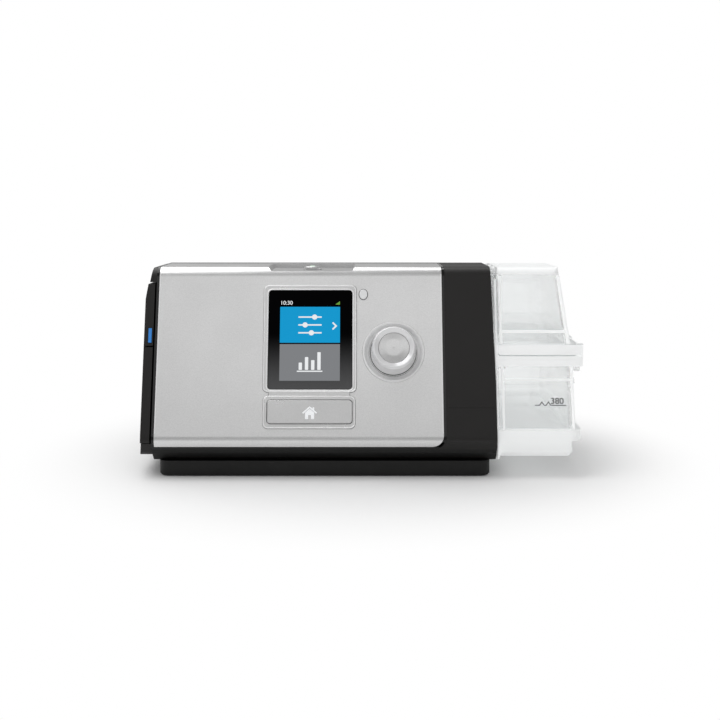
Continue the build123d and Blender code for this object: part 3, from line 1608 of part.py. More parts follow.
with BuildPart() as tub_lid:
    add(lid_tier(lid_left, 0, lid_foot, height))
    add(lid_rim.part)
    add(lid_tier(lid_left + tub_wall, tub_wall, lid_step_z, height), mode=Mode.SUBTRACT)
    add(lid_tier(lid_left + tub_wall, tub_wall + lid_step, lid_foot - 1, lid_step_z + 1), mode=Mode.SUBTRACT)
    for y in hinge_ears_y:
        block(
            (lid_left - 1, y - gap, bulkhead_top - 4 - gap),
            (hinge_x + 2.6, y + hinge_ear + gap, height + 1),
            mode=Mode.SUBTRACT,
        )
        rod((hinge_x, y + hinge_ear + gap, hinge_z), (hinge_x, y + 2 * hinge_ear, hinge_z), 2.0)
        rod(
            (hinge_x, y + hinge_ear, hinge_z),
            (hinge_x, y + 2 * hinge_ear + 2, hinge_z),
            hinge_pin + shaft_fit,
            mode=Mode.SUBTRACT,
        )
    rod(
        (latch_x, latch_y[0] - gap - 2.5, latch_z),
        (latch_x, latch_y[1] + gap + 2.5, latch_z),
        door_pin + shaft_fit,
        mode=Mode.SUBTRACT,
    )
finish(tub_lid, "tub_lid")

with BuildPart() as lid_hinge_pins:
    for y in hinge_ears_y:
        rod((hinge_x, y, hinge_z), (hinge_x, y + 2 * hinge_ear, hinge_z), hinge_pin)
finish(lid_hinge_pins, "lid_hinge_pins")

with BuildPart() as tub_latch:
    rod((latch_x, latch_y[0], latch_z), (latch_x, latch_y[1], latch_z), latch_barrel)
    block((latch_x - 0.9, latch_y[0], latch_low), (latch_x + 0.9, latch_y[1], latch_z))
    block((hook_tip, latch_y[0], latch_low), (latch_x, latch_y[1], hook_top))
    rod((latch_x, latch_y[0] - gap - 2, latch_z), (latch_x, latch_y[1] + gap + 2, latch_z), door_pin)
finish(tub_latch, "tub_latch")
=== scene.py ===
"""Looks of the CPAP machine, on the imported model, in metres.

+X is to the right of someone facing the screen, -Y is the front and +Z is up.
"""

import math

import bpy
import numpy as np
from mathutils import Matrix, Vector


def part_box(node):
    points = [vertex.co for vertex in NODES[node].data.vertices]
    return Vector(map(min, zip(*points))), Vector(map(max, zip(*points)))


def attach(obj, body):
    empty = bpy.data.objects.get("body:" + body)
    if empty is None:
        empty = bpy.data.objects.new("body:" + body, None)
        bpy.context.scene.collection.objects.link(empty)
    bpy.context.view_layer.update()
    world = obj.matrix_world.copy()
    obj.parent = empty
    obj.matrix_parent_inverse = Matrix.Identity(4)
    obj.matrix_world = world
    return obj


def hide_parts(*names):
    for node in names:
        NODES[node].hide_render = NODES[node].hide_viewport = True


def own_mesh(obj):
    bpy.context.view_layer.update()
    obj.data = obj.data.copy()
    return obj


bl_info = {
    "name": "CPAP machine looks",
    "version": (1, 0, 0),
    "blender": (4, 5, 0),
    "location": "3D View > Sidebar > CPAP",
    "description": "Finishes, screen picture, marks and stage for the CPAP machine",
    "category": "Object",
}

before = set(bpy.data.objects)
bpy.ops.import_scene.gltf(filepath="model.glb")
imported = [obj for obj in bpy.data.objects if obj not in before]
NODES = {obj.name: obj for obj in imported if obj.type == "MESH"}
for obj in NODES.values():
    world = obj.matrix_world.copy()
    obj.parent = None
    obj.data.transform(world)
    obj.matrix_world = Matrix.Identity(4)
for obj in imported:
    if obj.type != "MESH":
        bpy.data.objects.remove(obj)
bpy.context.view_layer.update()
MM = 0.001
LEAN = math.radians(20.0)             # the face leans back by this much
ACROSS = np.array([1.0, 0.0, 0.0])
UPWARD = np.array([0.0, math.sin(LEAN), math.cos(LEAN)])
OUTWARD = np.array([0.0, -math.cos(LEAN), math.sin(LEAN)])
FACE_ZERO = np.array([0.0, -75.8694, 20.0]) * MM   # a point on the face, 20 mm above the floor
DIAL = (18.9 * MM, 52.3 * MM)         # the dial's axis, across and up the face


def srgb(code):
    """Linear colour, with alpha 1, of an sRGB hex value."""
    parts = [int(code[i:i + 2], 16) / 255 for i in (1, 3, 5)]
    return tuple(c / 12.92 if c <= 0.04045 else ((c + 0.055) / 1.055) ** 2.4 for c in parts) + (1.0,)


def shade(colour, factor):
    """The same colour, lighter or darker."""
    return tuple(min(1.0, c * factor) for c in colour[:3]) + (1.0,)


# ---------------------------------------------------------------- settings
def colour_setting(name, code, description):
    """A colour property with its sRGB default."""
    return bpy.props.FloatVectorProperty(
        name=name, description=description, subtype="COLOR", size=4, min=0.0, max=1.0, default=srgb(code)
    )


def length_setting(name, millimetres, description):
    """A length property with its default in millimetres."""
    return bpy.props.FloatProperty(
        name=name, description=description, subtype="DISTANCE", unit="LENGTH", default=millimetres * MM
    )


class CpapFinishSettings(bpy.types.PropertyGroup):
    """Colours of the casing, the controls and the tub."""

    silver: colour_setting("Silver paint", "#d8d8d8", "Metallic paint of the fascia and the keys")
    charcoal: colour_setting("Charcoal plastic", "#171514", "Dock cover, side cover and rear casing")
    plinth: colour_setting("Plinth plastic", "#0c0c0b", "Plinth and lower casing")
    piano: colour_setting("Gloss trim", "#060606", "Gloss trim around the fascia")
    pull_tab: colour_setting("Pull tab", "#2f8be0", "Pull tab of the upper side door")
    clear: colour_setting("Clear plastic", "#ebeded", "Polycarbonate of the water tub")
    # the polished ring's near-white colour is a painted reflection of the bright surroundings
    polished: colour_setting("Polished ring", "#f0f0f1", "Turned ring of the dial")
    frosted: colour_setting("Frosted plastic", "#f4f5f5", "Thick, light-catching edges of the water tub")
    silicone: colour_setting("Silicone", "#e4e8e8", "Seals and blower mounts")


class CpapScreenSettings(bpy.types.PropertyGroup):
    """Sizes and colours of the picture on the screen and of the marks."""

    left: length_setting("Picture left", -45.4, "Left edge of the picture, across the face")
    right: length_setting("Picture right", -11.35, "Right edge of the picture, across the face")
    header_low: length_setting("Header foot", 78.4, "Upper edge of the first tile, up the face")
    tile_split: length_setting("Tile split", 57.2, "Line between the two tiles, up the face")
    tile_low: length_setting("Tile foot", 35.5, "Lower edge of the second tile, up the face")
    tile_blue: colour_setting("First tile", "#0f9fd8", "Lit tile")
    tile_grey: colour_setting("Second tile", "#85878a", "Unlit tile")
    white: colour_setting("White marks", "#f6f8fa", "Symbols of the picture and the home key")
    signal: colour_setting("Signal mark", "#7fb84a", "Signal strength mark")
    ink: colour_setting("Ink", "#17191a", "Printed level mark of the tub")


class CpapStageSettings(bpy.types.PropertyGroup):
    """Floor, lamps and camera."""

    floor: colour_setting("Floor", "#f4f4f4", "Plain pale floor")
    world: bpy.props.FloatProperty(
        name="World level", description="Light from all around", subtype="FACTOR",
        default=0.36, min=0.0, max=2.0,
    )
    key: bpy.props.FloatProperty(
        name="Front lamp", description="Power of the large front lamp", subtype="POWER", default=3.4, min=0.0
    )
    top: bpy.props.FloatProperty(
        name="Top lamp", description="Power of the large top lamp", subtype="POWER", default=19.0, min=0.0
    )
    lens: bpy.props.FloatProperty(
        name="Camera lens", description="Focal length on a 36 mm sensor", subtype="DISTANCE_CAMERA",
        default=56.3,
    )


# ---------------------------------------------------------------- materials
def add_node(tree, kind, inputs=None, **settings):
    """Add a node with its settings, its input values and its links."""
    node = tree.nodes.new(kind)
    for key, value in settings.items():
        setattr(node, key, value)
    for name, value in (inputs or {}).items():
        if isinstance(value, bpy.types.NodeSocket):
            tree.links.new(value, node.inputs[name])
        else:
            node.inputs[name].default_value = value
    return node


def surface_material(name, shader_inputs, colour_from, rough_from, bump_from, bump_mm):
    """A Principled material. The functions given make the sockets that drive colour, roughness and bump."""
    material = bpy.data.materials.new(name)
    material.use_nodes = True
    tree = material.node_tree
    tree.nodes.clear()
    place = add_node(tree, "ShaderNodeTexCoord").outputs["Object"]
    inputs = dict(shader_inputs)
    inputs["Base Color"] = colour_from(tree, place)
    inputs["Roughness"] = rough_from(tree, place)
    height = bump_from(tree, place)
    bump = add_node(tree, "ShaderNodeBump", {"Height": height, "Strength": 1.0, "Distance": bump_mm * MM})
    inputs["Normal"] = bump.outputs["Normal"]
    shader = add_node(tree, "ShaderNodeBsdfPrincipled", inputs)
    add_node(tree, "ShaderNodeOutputMaterial", {"Surface": shader.outputs["BSDF"]})
    return material


# heights in millimetres at which the tub turns from frosted to clear and back: foot, flange and brow
FROSTED_TO = (26.6, 72.4)
CLEAR_TO = (60.6, 111.3)
BAND_TOP = 120.0


def banded_material(name, clear_inputs, frosted_inputs, colour_from, rough_from, bump_from, bump_mm):
    """A clear material that is frosted in bands across the height, at the tub's foot, flange and brow."""
    material = surface_material(name, clear_inputs, colour_from, rough_from, bump_from, bump_mm)
    tree = material.node_tree
    output = next(node for node in tree.nodes if node.type == "OUTPUT_MATERIAL")
    clear = output.inputs["Surface"].links[0].from_socket
    place = add_node(tree, "ShaderNodeTexCoord").outputs["Object"]
    height = add_node(tree, "ShaderNodeSeparateXYZ", {"Vector": place}).outputs["Z"]
    share = add_node(tree, "ShaderNodeMapRange", {"Value": height, "From Max": BAND_TOP * MM})
    bands = add_node(tree, "ShaderNodeValToRGB", {"Fac": share.outputs["Result"]})
    ramp = bands.color_ramp
    ramp.interpolation = "CONSTANT"
    ramp.elements[0].color = (1.0, 1.0, 1.0, 1.0)
    ramp.elements[1].position = CLEAR_TO[1] / BAND_TOP
    ramp.elements[1].color = (1.0, 1.0, 1.0, 1.0)
    for level, tone in ((FROSTED_TO[0], 0.0), (CLEAR_TO[0], 1.0), (FROSTED_TO[1], 0.0)):
        ramp.elements.new(level / BAND_TOP).color = (tone, tone, tone, 1.0)
    frosted = add_node(tree, "ShaderNodeBsdfPrincipled", frosted_inputs).outputs["BSDF"]
    mixed = add_node(tree, "ShaderNodeMixShader", {0: bands.outputs["Color"], 1: clear, 2: frosted})
    tree.links.new(mixed.outputs[0], output.inputs["Surface"])
    return material


def grain(size_mm, detail=2.0):
    """Noise with grains of a real size, as a height or a factor."""
    def make(tree, place):
        noise = add_node(
            tree, "ShaderNodeTexNoise", {"Vector": place, "Scale": 1.0 / (size_mm * MM), "Detail": detail}
        )
        return noise.outputs["Fac"]
    return make


def flakes(colour, size_mm, spread):
    """Cells of a real size, each a little lighter or darker than the colour."""
    def make(tree, place):
        cells = add_node(tree, "ShaderNodeTexVoronoi", {"Vector": place, "Scale": 1.0 / (size_mm * MM)})
        tone = add_node(tree, "ShaderNodeSeparateColor", {"Color": cells.outputs["Color"]})
        return add_node(
            tree,
            "ShaderNodeMix",
            {0: tone.outputs["Red"], 6: shade(colour, 1 - spread), 7: shade(colour, 1 + spread)},
            data_type="RGBA",
        ).outputs[2]
    return make


def mottle(colour, size_mm, spread):
    """Soft patches of a real size, a little lighter or darker than the colour."""
    def make(tree, place):
        factor = grain(size_mm, 3.0)(tree, place)
        return add_node(
            tree,
            "ShaderNodeMix",
            {0: factor, 6: shade(colour, 1 - spread), 7: shade(colour, 1 + spread)},
            data_type="RGBA",
        ).outputs[2]
    return make


def rising(low_colour, high_colour, low_mm, high_mm):
    """A colour that changes into another between two heights above the floor."""
    def make(tree, place):
        height = add_node(tree, "ShaderNodeSeparateXYZ", {"Vector": place}).outputs["Z"]
        share = add_node(
            tree,
            "ShaderNodeMapRange",
            {"Value": height, "From Min": low_mm * MM, "From Max": high_mm * MM},
            interpolation_type="SMOOTHSTEP",
        )
        return add_node(
            tree,
            "ShaderNodeMix",
            {0: share.outputs["Result"], 6: low_colour, 7: high_colour},
            data_type="RGBA",
        ).outputs[2]
    return make


def uneven(low, high, size_mm):
    """Roughness that drifts between two values over patches of a real size."""
    def make(tree, place):
        factor = grain(size_mm, 3.0)(tree, place)
        return add_node(
            tree,
            "ShaderNodeMapRange",
            {"Value": factor, "From Min": 0.3, "From Max": 0.7, "To Min": low, "To Max": high},
        ).outputs["Result"]
    return make


def spun(size_mm):
    """Fine rings around the dial's axis, as a turned part has, as a height.

    The wave texture runs through 20 radians in a unit, so this scale gives one radian in size_mm.
    """
    def make(tree, place):
        centre = face_point(*DIAL, 0.0)
        turned = add_node(
            tree,
            "ShaderNodeMapping",
            {"Vector": place, "Location": tuple(-centre)},
            vector_type="POINT",
        )
        level = add_node(
            tree,
            "ShaderNodeMapping",
            {"Vector": turned.outputs["Vector"], "Rotation": (LEAN - math.pi / 2, 0.0, 0.0)},
            vector_type="POINT",
        )
        rings = add_node(
            tree,
            "ShaderNodeTexWave",
            {"Vector": level.outputs["Vector"], "Scale": 1.0 / 20.0 / (size_mm * MM), "Distortion": 0.3},
            wave_type="RINGS",
            rings_direction="Z",
        )
        return rings.outputs["Fac"]
    return make


def make_materials(chosen, screen):
    """Every finish on the machine, by a short name."""
    made = {}
    # metallic basecoat on moulded ABS: fine flakes under a thin clear coat, satin and soft in its highlights
    made["silver"] = surface_material(
        "silver_metallic_basecoat",
        {"Metallic": 0.82, "Coat Weight": 0.25, "Coat Roughness": 0.12},
        flakes(chosen.silver, 0.35, 0.05),
        uneven(0.29, 0.34, 25.0),
        grain(0.4),
        0.006,
    )
    # the fascia's paint in the dial's dish, flatter and painted 1.3 times lighter: painted light that keeps
    # it pale in the knob's shade
    made["dish"] = surface_material(
        "silver_paint_lit_against_shade",
        {"Metallic": 0.1, "Specular IOR Level": 0.5},
        flakes(shade(chosen.silver, 1.3), 0.3, 0.04),
        uneven(0.34, 0.42, 12.0),
        grain(0.4),
        0.004,
    )
    # the basecoat again on the keys and the control bezel, a little smoother from handling; painted shade
    # makes it 0.88 times as light, to tone down its brighter reflections
    made["silver_key"] = surface_material(
        "silver_metallic_basecoat_key_shaded",
        {"Metallic": 0.82, "Coat Weight": 0.35, "Coat Roughness": 0.08},
        flakes(shade(chosen.silver, 0.88), 0.3, 0.04),
        uneven(0.26, 0.34, 12.0),
        grain(0.4),
        0.004,
    )
    # painted highlight: the fascia's paint 1.4 times lighter, on smooth beads and strips that stand for
    # rounded edges catching the light
    made["silver_painted_highlight"] = surface_material(
        "silver_metallic_painted_highlight",
        {"Metallic": 0.35, "Coat Weight": 0.4, "Coat Roughness": 0.2},
        flakes(shade(chosen.silver, 1.4), 0.3, 0.02),
        uneven(0.28, 0.34, 12.0),
        grain(0.4),
        0.003,
    )
    # spark-eroded ABS: a very fine even grain that breaks up highlights on a warm charcoal
    made["charcoal"] = surface_material(
        "charcoal_abs_spark_eroded",
        {"Specular IOR Level": 0.35},
        mottle(chosen.charcoal, 6.0, 0.03),
        uneven(0.43, 0.47, 18.0),
        grain(0.25),
        0.02,
    )
    # coarser moulded texture of the plinth: dull and nearly black
    made["plinth"] = surface_material(
        "black_abs_moulded",
        {"Specular IOR Level": 0.35},
        mottle(chosen.plinth, 5.0, 0.10),
        uneven(0.50, 0.62, 15.0),
        grain(0.35),
        0.03,
    )
    # piano-black ABS: deep, with clear reflections and a faint orange peel
    made["piano"] = surface_material(
        "piano_black_abs",
        {"Specular IOR Level": 0.4},
        mottle(chosen.piano, 20.0, 0.05),
        uneven(0.07, 0.11, 30.0),
        grain(9.0),
        0.02,
    )
    # acrylic window printed black on the back: smooth, with a painted reflection that makes it paler towards
    # its foot
    made["window"] = surface_material(
        "acrylic_window_black_printed",
        {"Specular IOR Level": 0.015},
        rising(srgb("#5c5c5d"), srgb("#010102"), 44.0, 80.0),
        uneven(0.05, 0.08, 20.0),
        grain(12.0),
        0.004,
    )
    # turned ring with fine turning marks, near white with little metal: a painted reflection of the bright
    # surroundings that the polished ring mirrors, bright all round
    made["polished"] = surface_material(
        "aluminium_turned_painted_reflection",
        {"Metallic": 0.1, "Coat Weight": 0.4, "Coat Roughness": 0.08},
        mottle(chosen.polished, 8.0, 0.03),
        uneven(0.12, 0.17, 10.0),
        spun(0.12),
        0.003,
    )
    # clear polycarbonate: colourless, slightly hazed by the mould's polish, and frosted where it is thick;
    # the frosted bands glow faintly, painted light that keeps them white
    made["clear"] = banded_material(
        "polycarbonate_clear",
        {"Transmission Weight": 1.0, "IOR": 1.36, "Alpha": 0.55},
        {
            "Transmission Weight": 0.15, "Base Color": chosen.frosted[:], "Roughness": 0.35, "Alpha": 0.95,
            "Emission Color": chosen.frosted[:], "Emission Strength": 0.18,
        },
        mottle(chosen.clear, 30.0, 0.015),
        uneven(0.08, 0.16, 18.0),
        grain(14.0),
        0.03,
    )
    # thick moulded edges of the same polycarbonate, frosted and faintly glowing: painted highlights for the
    # light that they gather, so they show white
    made["frosted"] = surface_material(
        "polycarbonate_edge_painted_highlight",
        {"Transmission Weight": 0.2, "Emission Color": chosen.frosted[:], "Emission Strength": 0.22},
        mottle(chosen.frosted, 8.0, 0.02),
        uneven(0.30, 0.40, 6.0),
        grain(2.0),
        0.01,
    )
    # blue semi-gloss polypropylene
    made["pull_tab"] = surface_material(
        "polypropylene_blue",
        {"Specular IOR Level": 0.5},
        mottle(chosen.pull_tab, 3.0, 0.05),
        uneven(0.30, 0.38, 5.0),
        grain(0.3),
        0.01,
    )
    # nitrile rubber feet: dull, powdery black
    made["rubber"] = surface_material(
        "nitrile_rubber_black",
        {"Specular IOR Level": 0.3},
        mottle(srgb("#161616"), 2.0, 0.15),
        uneven(0.75, 0.90, 6.0),
        grain(0.5),
        0.05,
    )
    # milky silicone: soft sheen, lets some light in
    made["silicone"] = surface_material(
        "silicone_translucent",
        {"Subsurface Weight": 0.3, "Subsurface Radius": (0.002, 0.002, 0.002), "Transmission Weight": 0.25},
        mottle(chosen.silicone, 4.0, 0.03),
        uneven(0.42, 0.52, 8.0),
        grain(0.8),
        0.02,
    )
    # machined steel, with fine random tool marks
    made["steel"] = surface_material(
        "steel_machined",
        {"Metallic": 1.0},
        mottle(srgb("#b9babc"), 1.5, 0.08),
        uneven(0.25, 0.38, 2.0),
        grain(0.2),
        0.004,
    )
    # satin anodised aluminium plate
    made["anodised"] = surface_material(
        "aluminium_anodised_satin",
        {"Metallic": 1.0},
        mottle(srgb("#cfd1d3"), 3.0, 0.05),
        uneven(0.32, 0.42, 6.0),
        grain(0.3),
        0.006,
    )
    # solder mask over glass-fibre board, slightly uneven every 0.8 mm
    made["board"] = surface_material(
        "glass_fibre_board_green",
        {"Coat Weight": 0.3, "Coat Roughness": 0.1},
        mottle(srgb("#1c6b3c"), 4.0, 0.12),
        uneven(0.25, 0.35, 5.0),
        grain(0.8),
        0.03,
    )
    # natural moulded nylon
    made["nylon"] = surface_material(
        "nylon_natural_moulded",
        {"Specular IOR Level": 0.4},
        mottle(srgb("#d9d8d3"), 6.0, 0.04),
        uneven(0.45, 0.55, 8.0),
        grain(0.4),
        0.02,
    )
    # open-cell foam: pores of about 1 mm
    made["foam"] = surface_material(
        "polyurethane_foam_open_cell",
        {"Specular IOR Level": 0.1},
        flakes(srgb("#5a5b5d"), 1.0, 0.35),
        uneven(0.90, 1.0, 5.0),
        grain(1.0),
        0.5,
    )
    # felted filter mat: a fine, rough surface without direction
    made["filter"] = surface_material(
        "polyester_filter_mat",
        {"Sheen Weight": 0.3, "Specular IOR Level": 0.1},
        mottle(srgb("#e6e5e0"), 0.8, 0.10),
        uneven(0.85, 1.0, 3.0),
        grain(0.4, 5.0),
        0.2,
    )
    # light pipe: diffusing acrylic over a dim pale green lamp
    made["lamp"] = surface_material(
        "acrylic_light_pipe",
        {"Emission Color": srgb("#cfeed4"), "Emission Strength": 0.35, "Coat Weight": 0.4},
        mottle(srgb("#cfe3d3"), 1.0, 0.04),
        uneven(0.25, 0.35, 2.0),
        grain(0.6),
        0.01,
    )
    # light sensor window: translucent grey-white polycarbonate
    made["sensor"] = surface_material(
        "polycarbonate_diffusing",
        {"Subsurface Weight": 0.2, "Subsurface Radius": (0.001, 0.001, 0.001), "Coat Weight": 0.5},
        mottle(srgb("#f4f5f6"), 2.0, 0.03),
        uneven(0.18, 0.26, 2.0),
        grain(0.8),
        0.01,
    )
    # plain blue memory card shell
    made["card"] = surface_material(
        "abs_card_blue",
        {"Specular IOR Level": 0.4},
        mottle(srgb("#20305e"), 3.0, 0.06),
        uneven(0.40, 0.50, 5.0),
        grain(0.3),
        0.02,
    )
    # lit parts of the display under acrylic: an even colour with a faint mottle of 0.4 mm
    for name, colour in (
        ("tile_blue", screen.tile_blue),
        ("tile_grey", screen.tile_grey),
        ("picture_white", screen.white),
        ("picture_green", screen.signal),
    ):
        made[name] = surface_material(
            "display_" + name,
            {"Emission Color": colour[:], "Emission Strength": 0.8, "Specular IOR Level": 0.06},
            mottle(shade(colour, 0.12), 0.4, 0.03),
            uneven(0.10, 0.14, 10.0),
            grain(0.4),
            0.001,
        )
    # pad-printed white ink on the key, with a faint glow: painted light that keeps it bright
    made["white_ink"] = surface_material(
        "pad_printed_white_ink_glowing",
        {"Specular IOR Level": 0.4, "Emission Color": screen.white[:], "Emission Strength": 0.2},
        mottle(screen.white, 0.5, 0.02),
        uneven(0.40, 0.50, 2.0),
        grain(0.2),
        0.006,
    )
    # pad-printed grey ink on the tub
    made["dark_ink"] = surface_material(
        "pad_printed_dark_ink",
        {"Specular IOR Level": 0.3},
        mottle(screen.ink, 0.5, 0.10),
        uneven(0.50, 0.60, 2.0),
        grain(0.2),
        0.006,
    )
    return made


FINISHES = {
    "casing": {
        "silver": ["fascia"],
        "silver_key": ["control_bezel"],
        "dish": ["dial_bezel"],
        "piano": ["front_trim", "power_inlet"],
        "charcoal": [
            "dock_cover", "dock_lower_trim", "left_cover", "card_door", "adapter_cover", "rear_case",
            "filter_cover", "air_outlet",
        ],
        "plinth": ["base_plinth", "lower_case", "dock_liner", "retention_clip"],
        "rubber": ["rubber_feet"],
        "pull_tab": ["card_door_tab"],
        "steel": ["case_screws", "clip_pin"],
    },
    "controls": {
        "silver": ["dial_cap"],
        "silver_key": ["home_button", "start_button"],
        "polished": ["dial_ring"],
        "window": ["screen_lens"],
        "sensor": ["light_sensor_lens"],
        "lamp": ["status_led"],
    },
    "tub": {
        "clear": ["tub_base", "tub_lid", "tub_latch", "lid_hinge_pins"],
        "silicone": ["tub_seal"],
        "anodised": ["tub_plate"],
    },
    "inside": {
        "board": ["control_board", "main_board", "power_board"],
        "steel": [
            "encoder_body", "encoder_plunger", "encoder_shaft", "card_slot", "motor_can", "motor_bearings",
            "motor_shaft", "heater_springs",
        ],
        "plinth": ["lcd_module", "tact_switches", "blower_lower", "blower_upper"],
        "nylon": ["muffler_box", "outlet_duct", "impeller"],
        "foam": ["muffler_foam"],
        "filter": ["air_filter"],
        "silicone": ["blower_mounts", "flow_duct", "port_seals"],
        "anodised": ["heater_plate"],
        "card": ["sd_card"],
    },
}


MADE = {}


def paint(group):
    """Give the CAD nodes of a group their finishes."""
    made = materials()
    for finish, names in FINISHES[group].items():
        for name in names:
            for slot in NODES[name].material_slots:
                slot.material = made[finish]


def materials():
    """The finishes, made on first use."""
    if not MADE:
        scene = bpy.context.scene
        MADE.update(make_materials(scene.cpap_finish, scene.cpap_screen))
    return MADE


# ---------------------------------------------------------------- surfaces
def face_point(across, up, out):
    """Points on the leaning face: across it, up it and out of it, in metres. Works on arrays too."""
    across, up, out = (np.asarray(value, float)[..., None] for value in (across, up, out))
    return FACE_ZERO + across * ACROSS + up * UPWARD + out * OUTWARD


def as_piece(name, mesh, finish, body):
    """An object for a mesh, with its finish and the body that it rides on."""
    mesh.materials.clear()
    mesh.materials.append(materials()[finish])
    piece = bpy.data.objects.new(name, mesh)
    bpy.context.scene.collection.objects.link(piece)
    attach(piece, body)
    return piece


def grid_mesh(name, points, finish, body, looped=False, places=((0.0, 0.0, 0.0),)):
    """A mesh from a grid of points, rows by columns, whose last column joins the first.

    The first and the last row close onto their middle, or, where looped, onto each other. The mesh is
    repeated at each of the places.
    """
    rows, columns = points.shape[:2]
    vertices = points.reshape(-1, 3)
    index = np.arange(rows * columns).reshape(rows, columns)
    after = np.roll(index, -1, axis=1)
    if looped:
        above, above_after = np.roll(index, -1, axis=0), np.roll(after, -1, axis=0)
        quads = np.stack([index, after, above_after, above], axis=-1).reshape(-1, 4)
        fans = np.empty((0, 3), int)
    else:
        vertices = np.concatenate([vertices, points[:1].mean(axis=1), points[-1:].mean(axis=1)])
        low = np.stack([after[0], index[0], np.full(columns, rows * columns)], axis=-1)
        high = np.stack([index[-1], after[-1], np.full(columns, rows * columns + 1)], axis=-1)
        quads = np.stack([index[:-1], after[:-1], after[1:], index[1:]], axis=-1).reshape(-1, 4)
        fans = np.concatenate([low, high])
    faces = []
    for copy in range(len(places)):
        faces += (quads + copy * len(vertices)).tolist() + (fans + copy * len(vertices)).tolist()
    vertices = (np.asarray(places)[:, None] + vertices).reshape(-1, 3)
    mesh = bpy.data.meshes.new(name)
    mesh.from_pydata(vertices.tolist(), [], faces)
    mesh.validate()
    mesh.shade_smooth()
    mesh.set_sharp_from_angle(angle=math.radians(50.0))
    mesh.update()
    return as_piece(name, mesh, finish, body)


def slab(name, outline, low, high, finish, body):
    """A thin plate: a closed outline, anticlockwise, raised from low to high.

    Each row of the grid is the outline at one height, and the first and last rows close onto the
    outline's middle, from which every corner can be seen.
    """
    outline = np.asarray(outline, float)
    rows = [face_point(outline[:, 0], outline[:, 1], np.full(len(outline), level)) for level in (low, high)]
    return grid_mesh(name, np.stack(rows), finish, body)


def stroke(name, line, width, low, high, finish, body, slot):
    """A pen stroke: a rectangular section carried along a line, mitred where the line turns.

    At each point the section is set across the mean of the runs before and after it, and is widened
    by one over the cosine of half the turn, so the stroke keeps its width.
    """
    line = np.asarray(line, float)
    runs = np.diff(line, axis=0)
    runs /= np.linalg.norm(runs, axis=1)[:, None]
    sides = np.stack([-runs[:, 1], runs[:, 0]], axis=1)
    before = np.vstack([sides[:1], sides])
    after = np.vstack([sides, sides[-1:]])
    mean = before + after
    mean /= np.linalg.norm(mean, axis=1)[:, None]
    reach = (width / 2) / np.sum(mean * before, axis=1)
    left = line + mean * reach[:, None]
    right = line - mean * reach[:, None]
    corners = []
    for edge, level in ((right, low), (left, low), (left, high), (right, high)):
        corners.append(face_point(edge[:, 0], edge[:, 1], np.full(len(edge), level)))
    return grid_mesh(name, np.stack(corners, axis=1), finish, body)


def bead(name, outline, width, height, level, finish, body, steps=8):
    """A raised bead around a closed outline, anticlockwise.

    Its section is an ellipse of the given width and height, turned to lie across the outline: across by
    half the width times the cosine, out by half the height times the sine.
    """
    outline = np.asarray(outline, float)
    along = np.roll(outline, -1, axis=0) - np.roll(outline, 1, axis=0)
    along /= np.linalg.norm(along, axis=1)[:, None]
    across = np.stack([along[:, 1], -along[:, 0]], axis=1)
    turn = np.linspace(0.0, 2 * math.pi, steps, endpoint=False)[:, None]
    flat = outline[None] + across[None] * (width / 2 * np.cos(turn))[..., None]
    out = np.broadcast_to(level + height / 2 * np.sin(turn), flat.shape[:2])
    points = face_point(flat[..., 0], flat[..., 1], out)
    return grid_mesh(name, points, finish, body, looped=True)


def rib(name, line, width, height, level, finish, body, steps=10):
    """A straight rib from one point to another, with the section of a flattened ellipse and blunt ends."""
    start, end = np.asarray(line, float)
    along = (end - start) / np.linalg.norm(end - start)
    across = np.array([along[1], -along[0]])
    turn = np.linspace(0.0, 2 * math.pi, steps, endpoint=False)
    flat = across * (width / 2 * np.cos(turn))[:, None]
    out = level + height / 2 * np.sin(turn)
    rows = [face_point(point[0] + flat[:, 0], point[1] + flat[:, 1], out) for point in (end, start)]
    return grid_mesh(name, np.stack(rows), finish, body)


def rounded(left, right, low, high, radius, steps=6):
    """Outline of a rectangle with rounded corners, anticlockwise: a quarter circle about each corner."""
    turn = np.linspace(0.0, math.pi / 2, steps)
    points = []
    for start, x, y in (
        (-math.pi / 2, right - radius, low + radius),
        (0.0, right - radius, high - radius),
        (math.pi / 2, left + radius, high - radius),
        (math.pi, left + radius, low + radius),
    ):
        corner = radius * np.stack([np.cos(turn + start), np.sin(turn + start)], axis=1)
        points.append(corner + (x, y))
    return np.concatenate(points)


def ring_line(x, y, radius, steps=24):
    """Points around a circle, ending where they began."""
    turn = np.linspace(0.0, 2 * math.pi, steps + 1)
    return np.stack([x + radius * np.cos(turn), y + radius * np.sin(turn)], axis=1)


def number(name, text, size, left, low, level, thick, finish, body):
    """A plain number: the outlines of its figures, raised by their thickness above a level of the face.

    The figures are made one unit high and one unit thick, a little bolder than the font's own.
    """
    curve = bpy.data.curves.new(name, "FONT")
    curve.body = text
    curve.size = 1.0
    curve.extrude = 0.5
    curve.offset = 0.008
    shape = bpy.data.objects.new(name, curve)
    bpy.context.scene.collection.objects.link(shape)
    bpy.context.view_layer.update()
    mesh = bpy.data.meshes.new_from_object(shape)
    bpy.data.objects.remove(shape)
    flat = np.empty(len(mesh.vertices) * 3)
    mesh.vertices.foreach_get("co", flat)
    flat = flat.reshape(-1, 3)
    out = level + (flat[:, 2] + 0.5) * thick
    placed = face_point(left + flat[:, 0] * size, low + flat[:, 1] * size, out)
    mesh.vertices.foreach_set("co", placed.reshape(-1))
    mesh.update()
    return as_piece(name, mesh, finish, body)


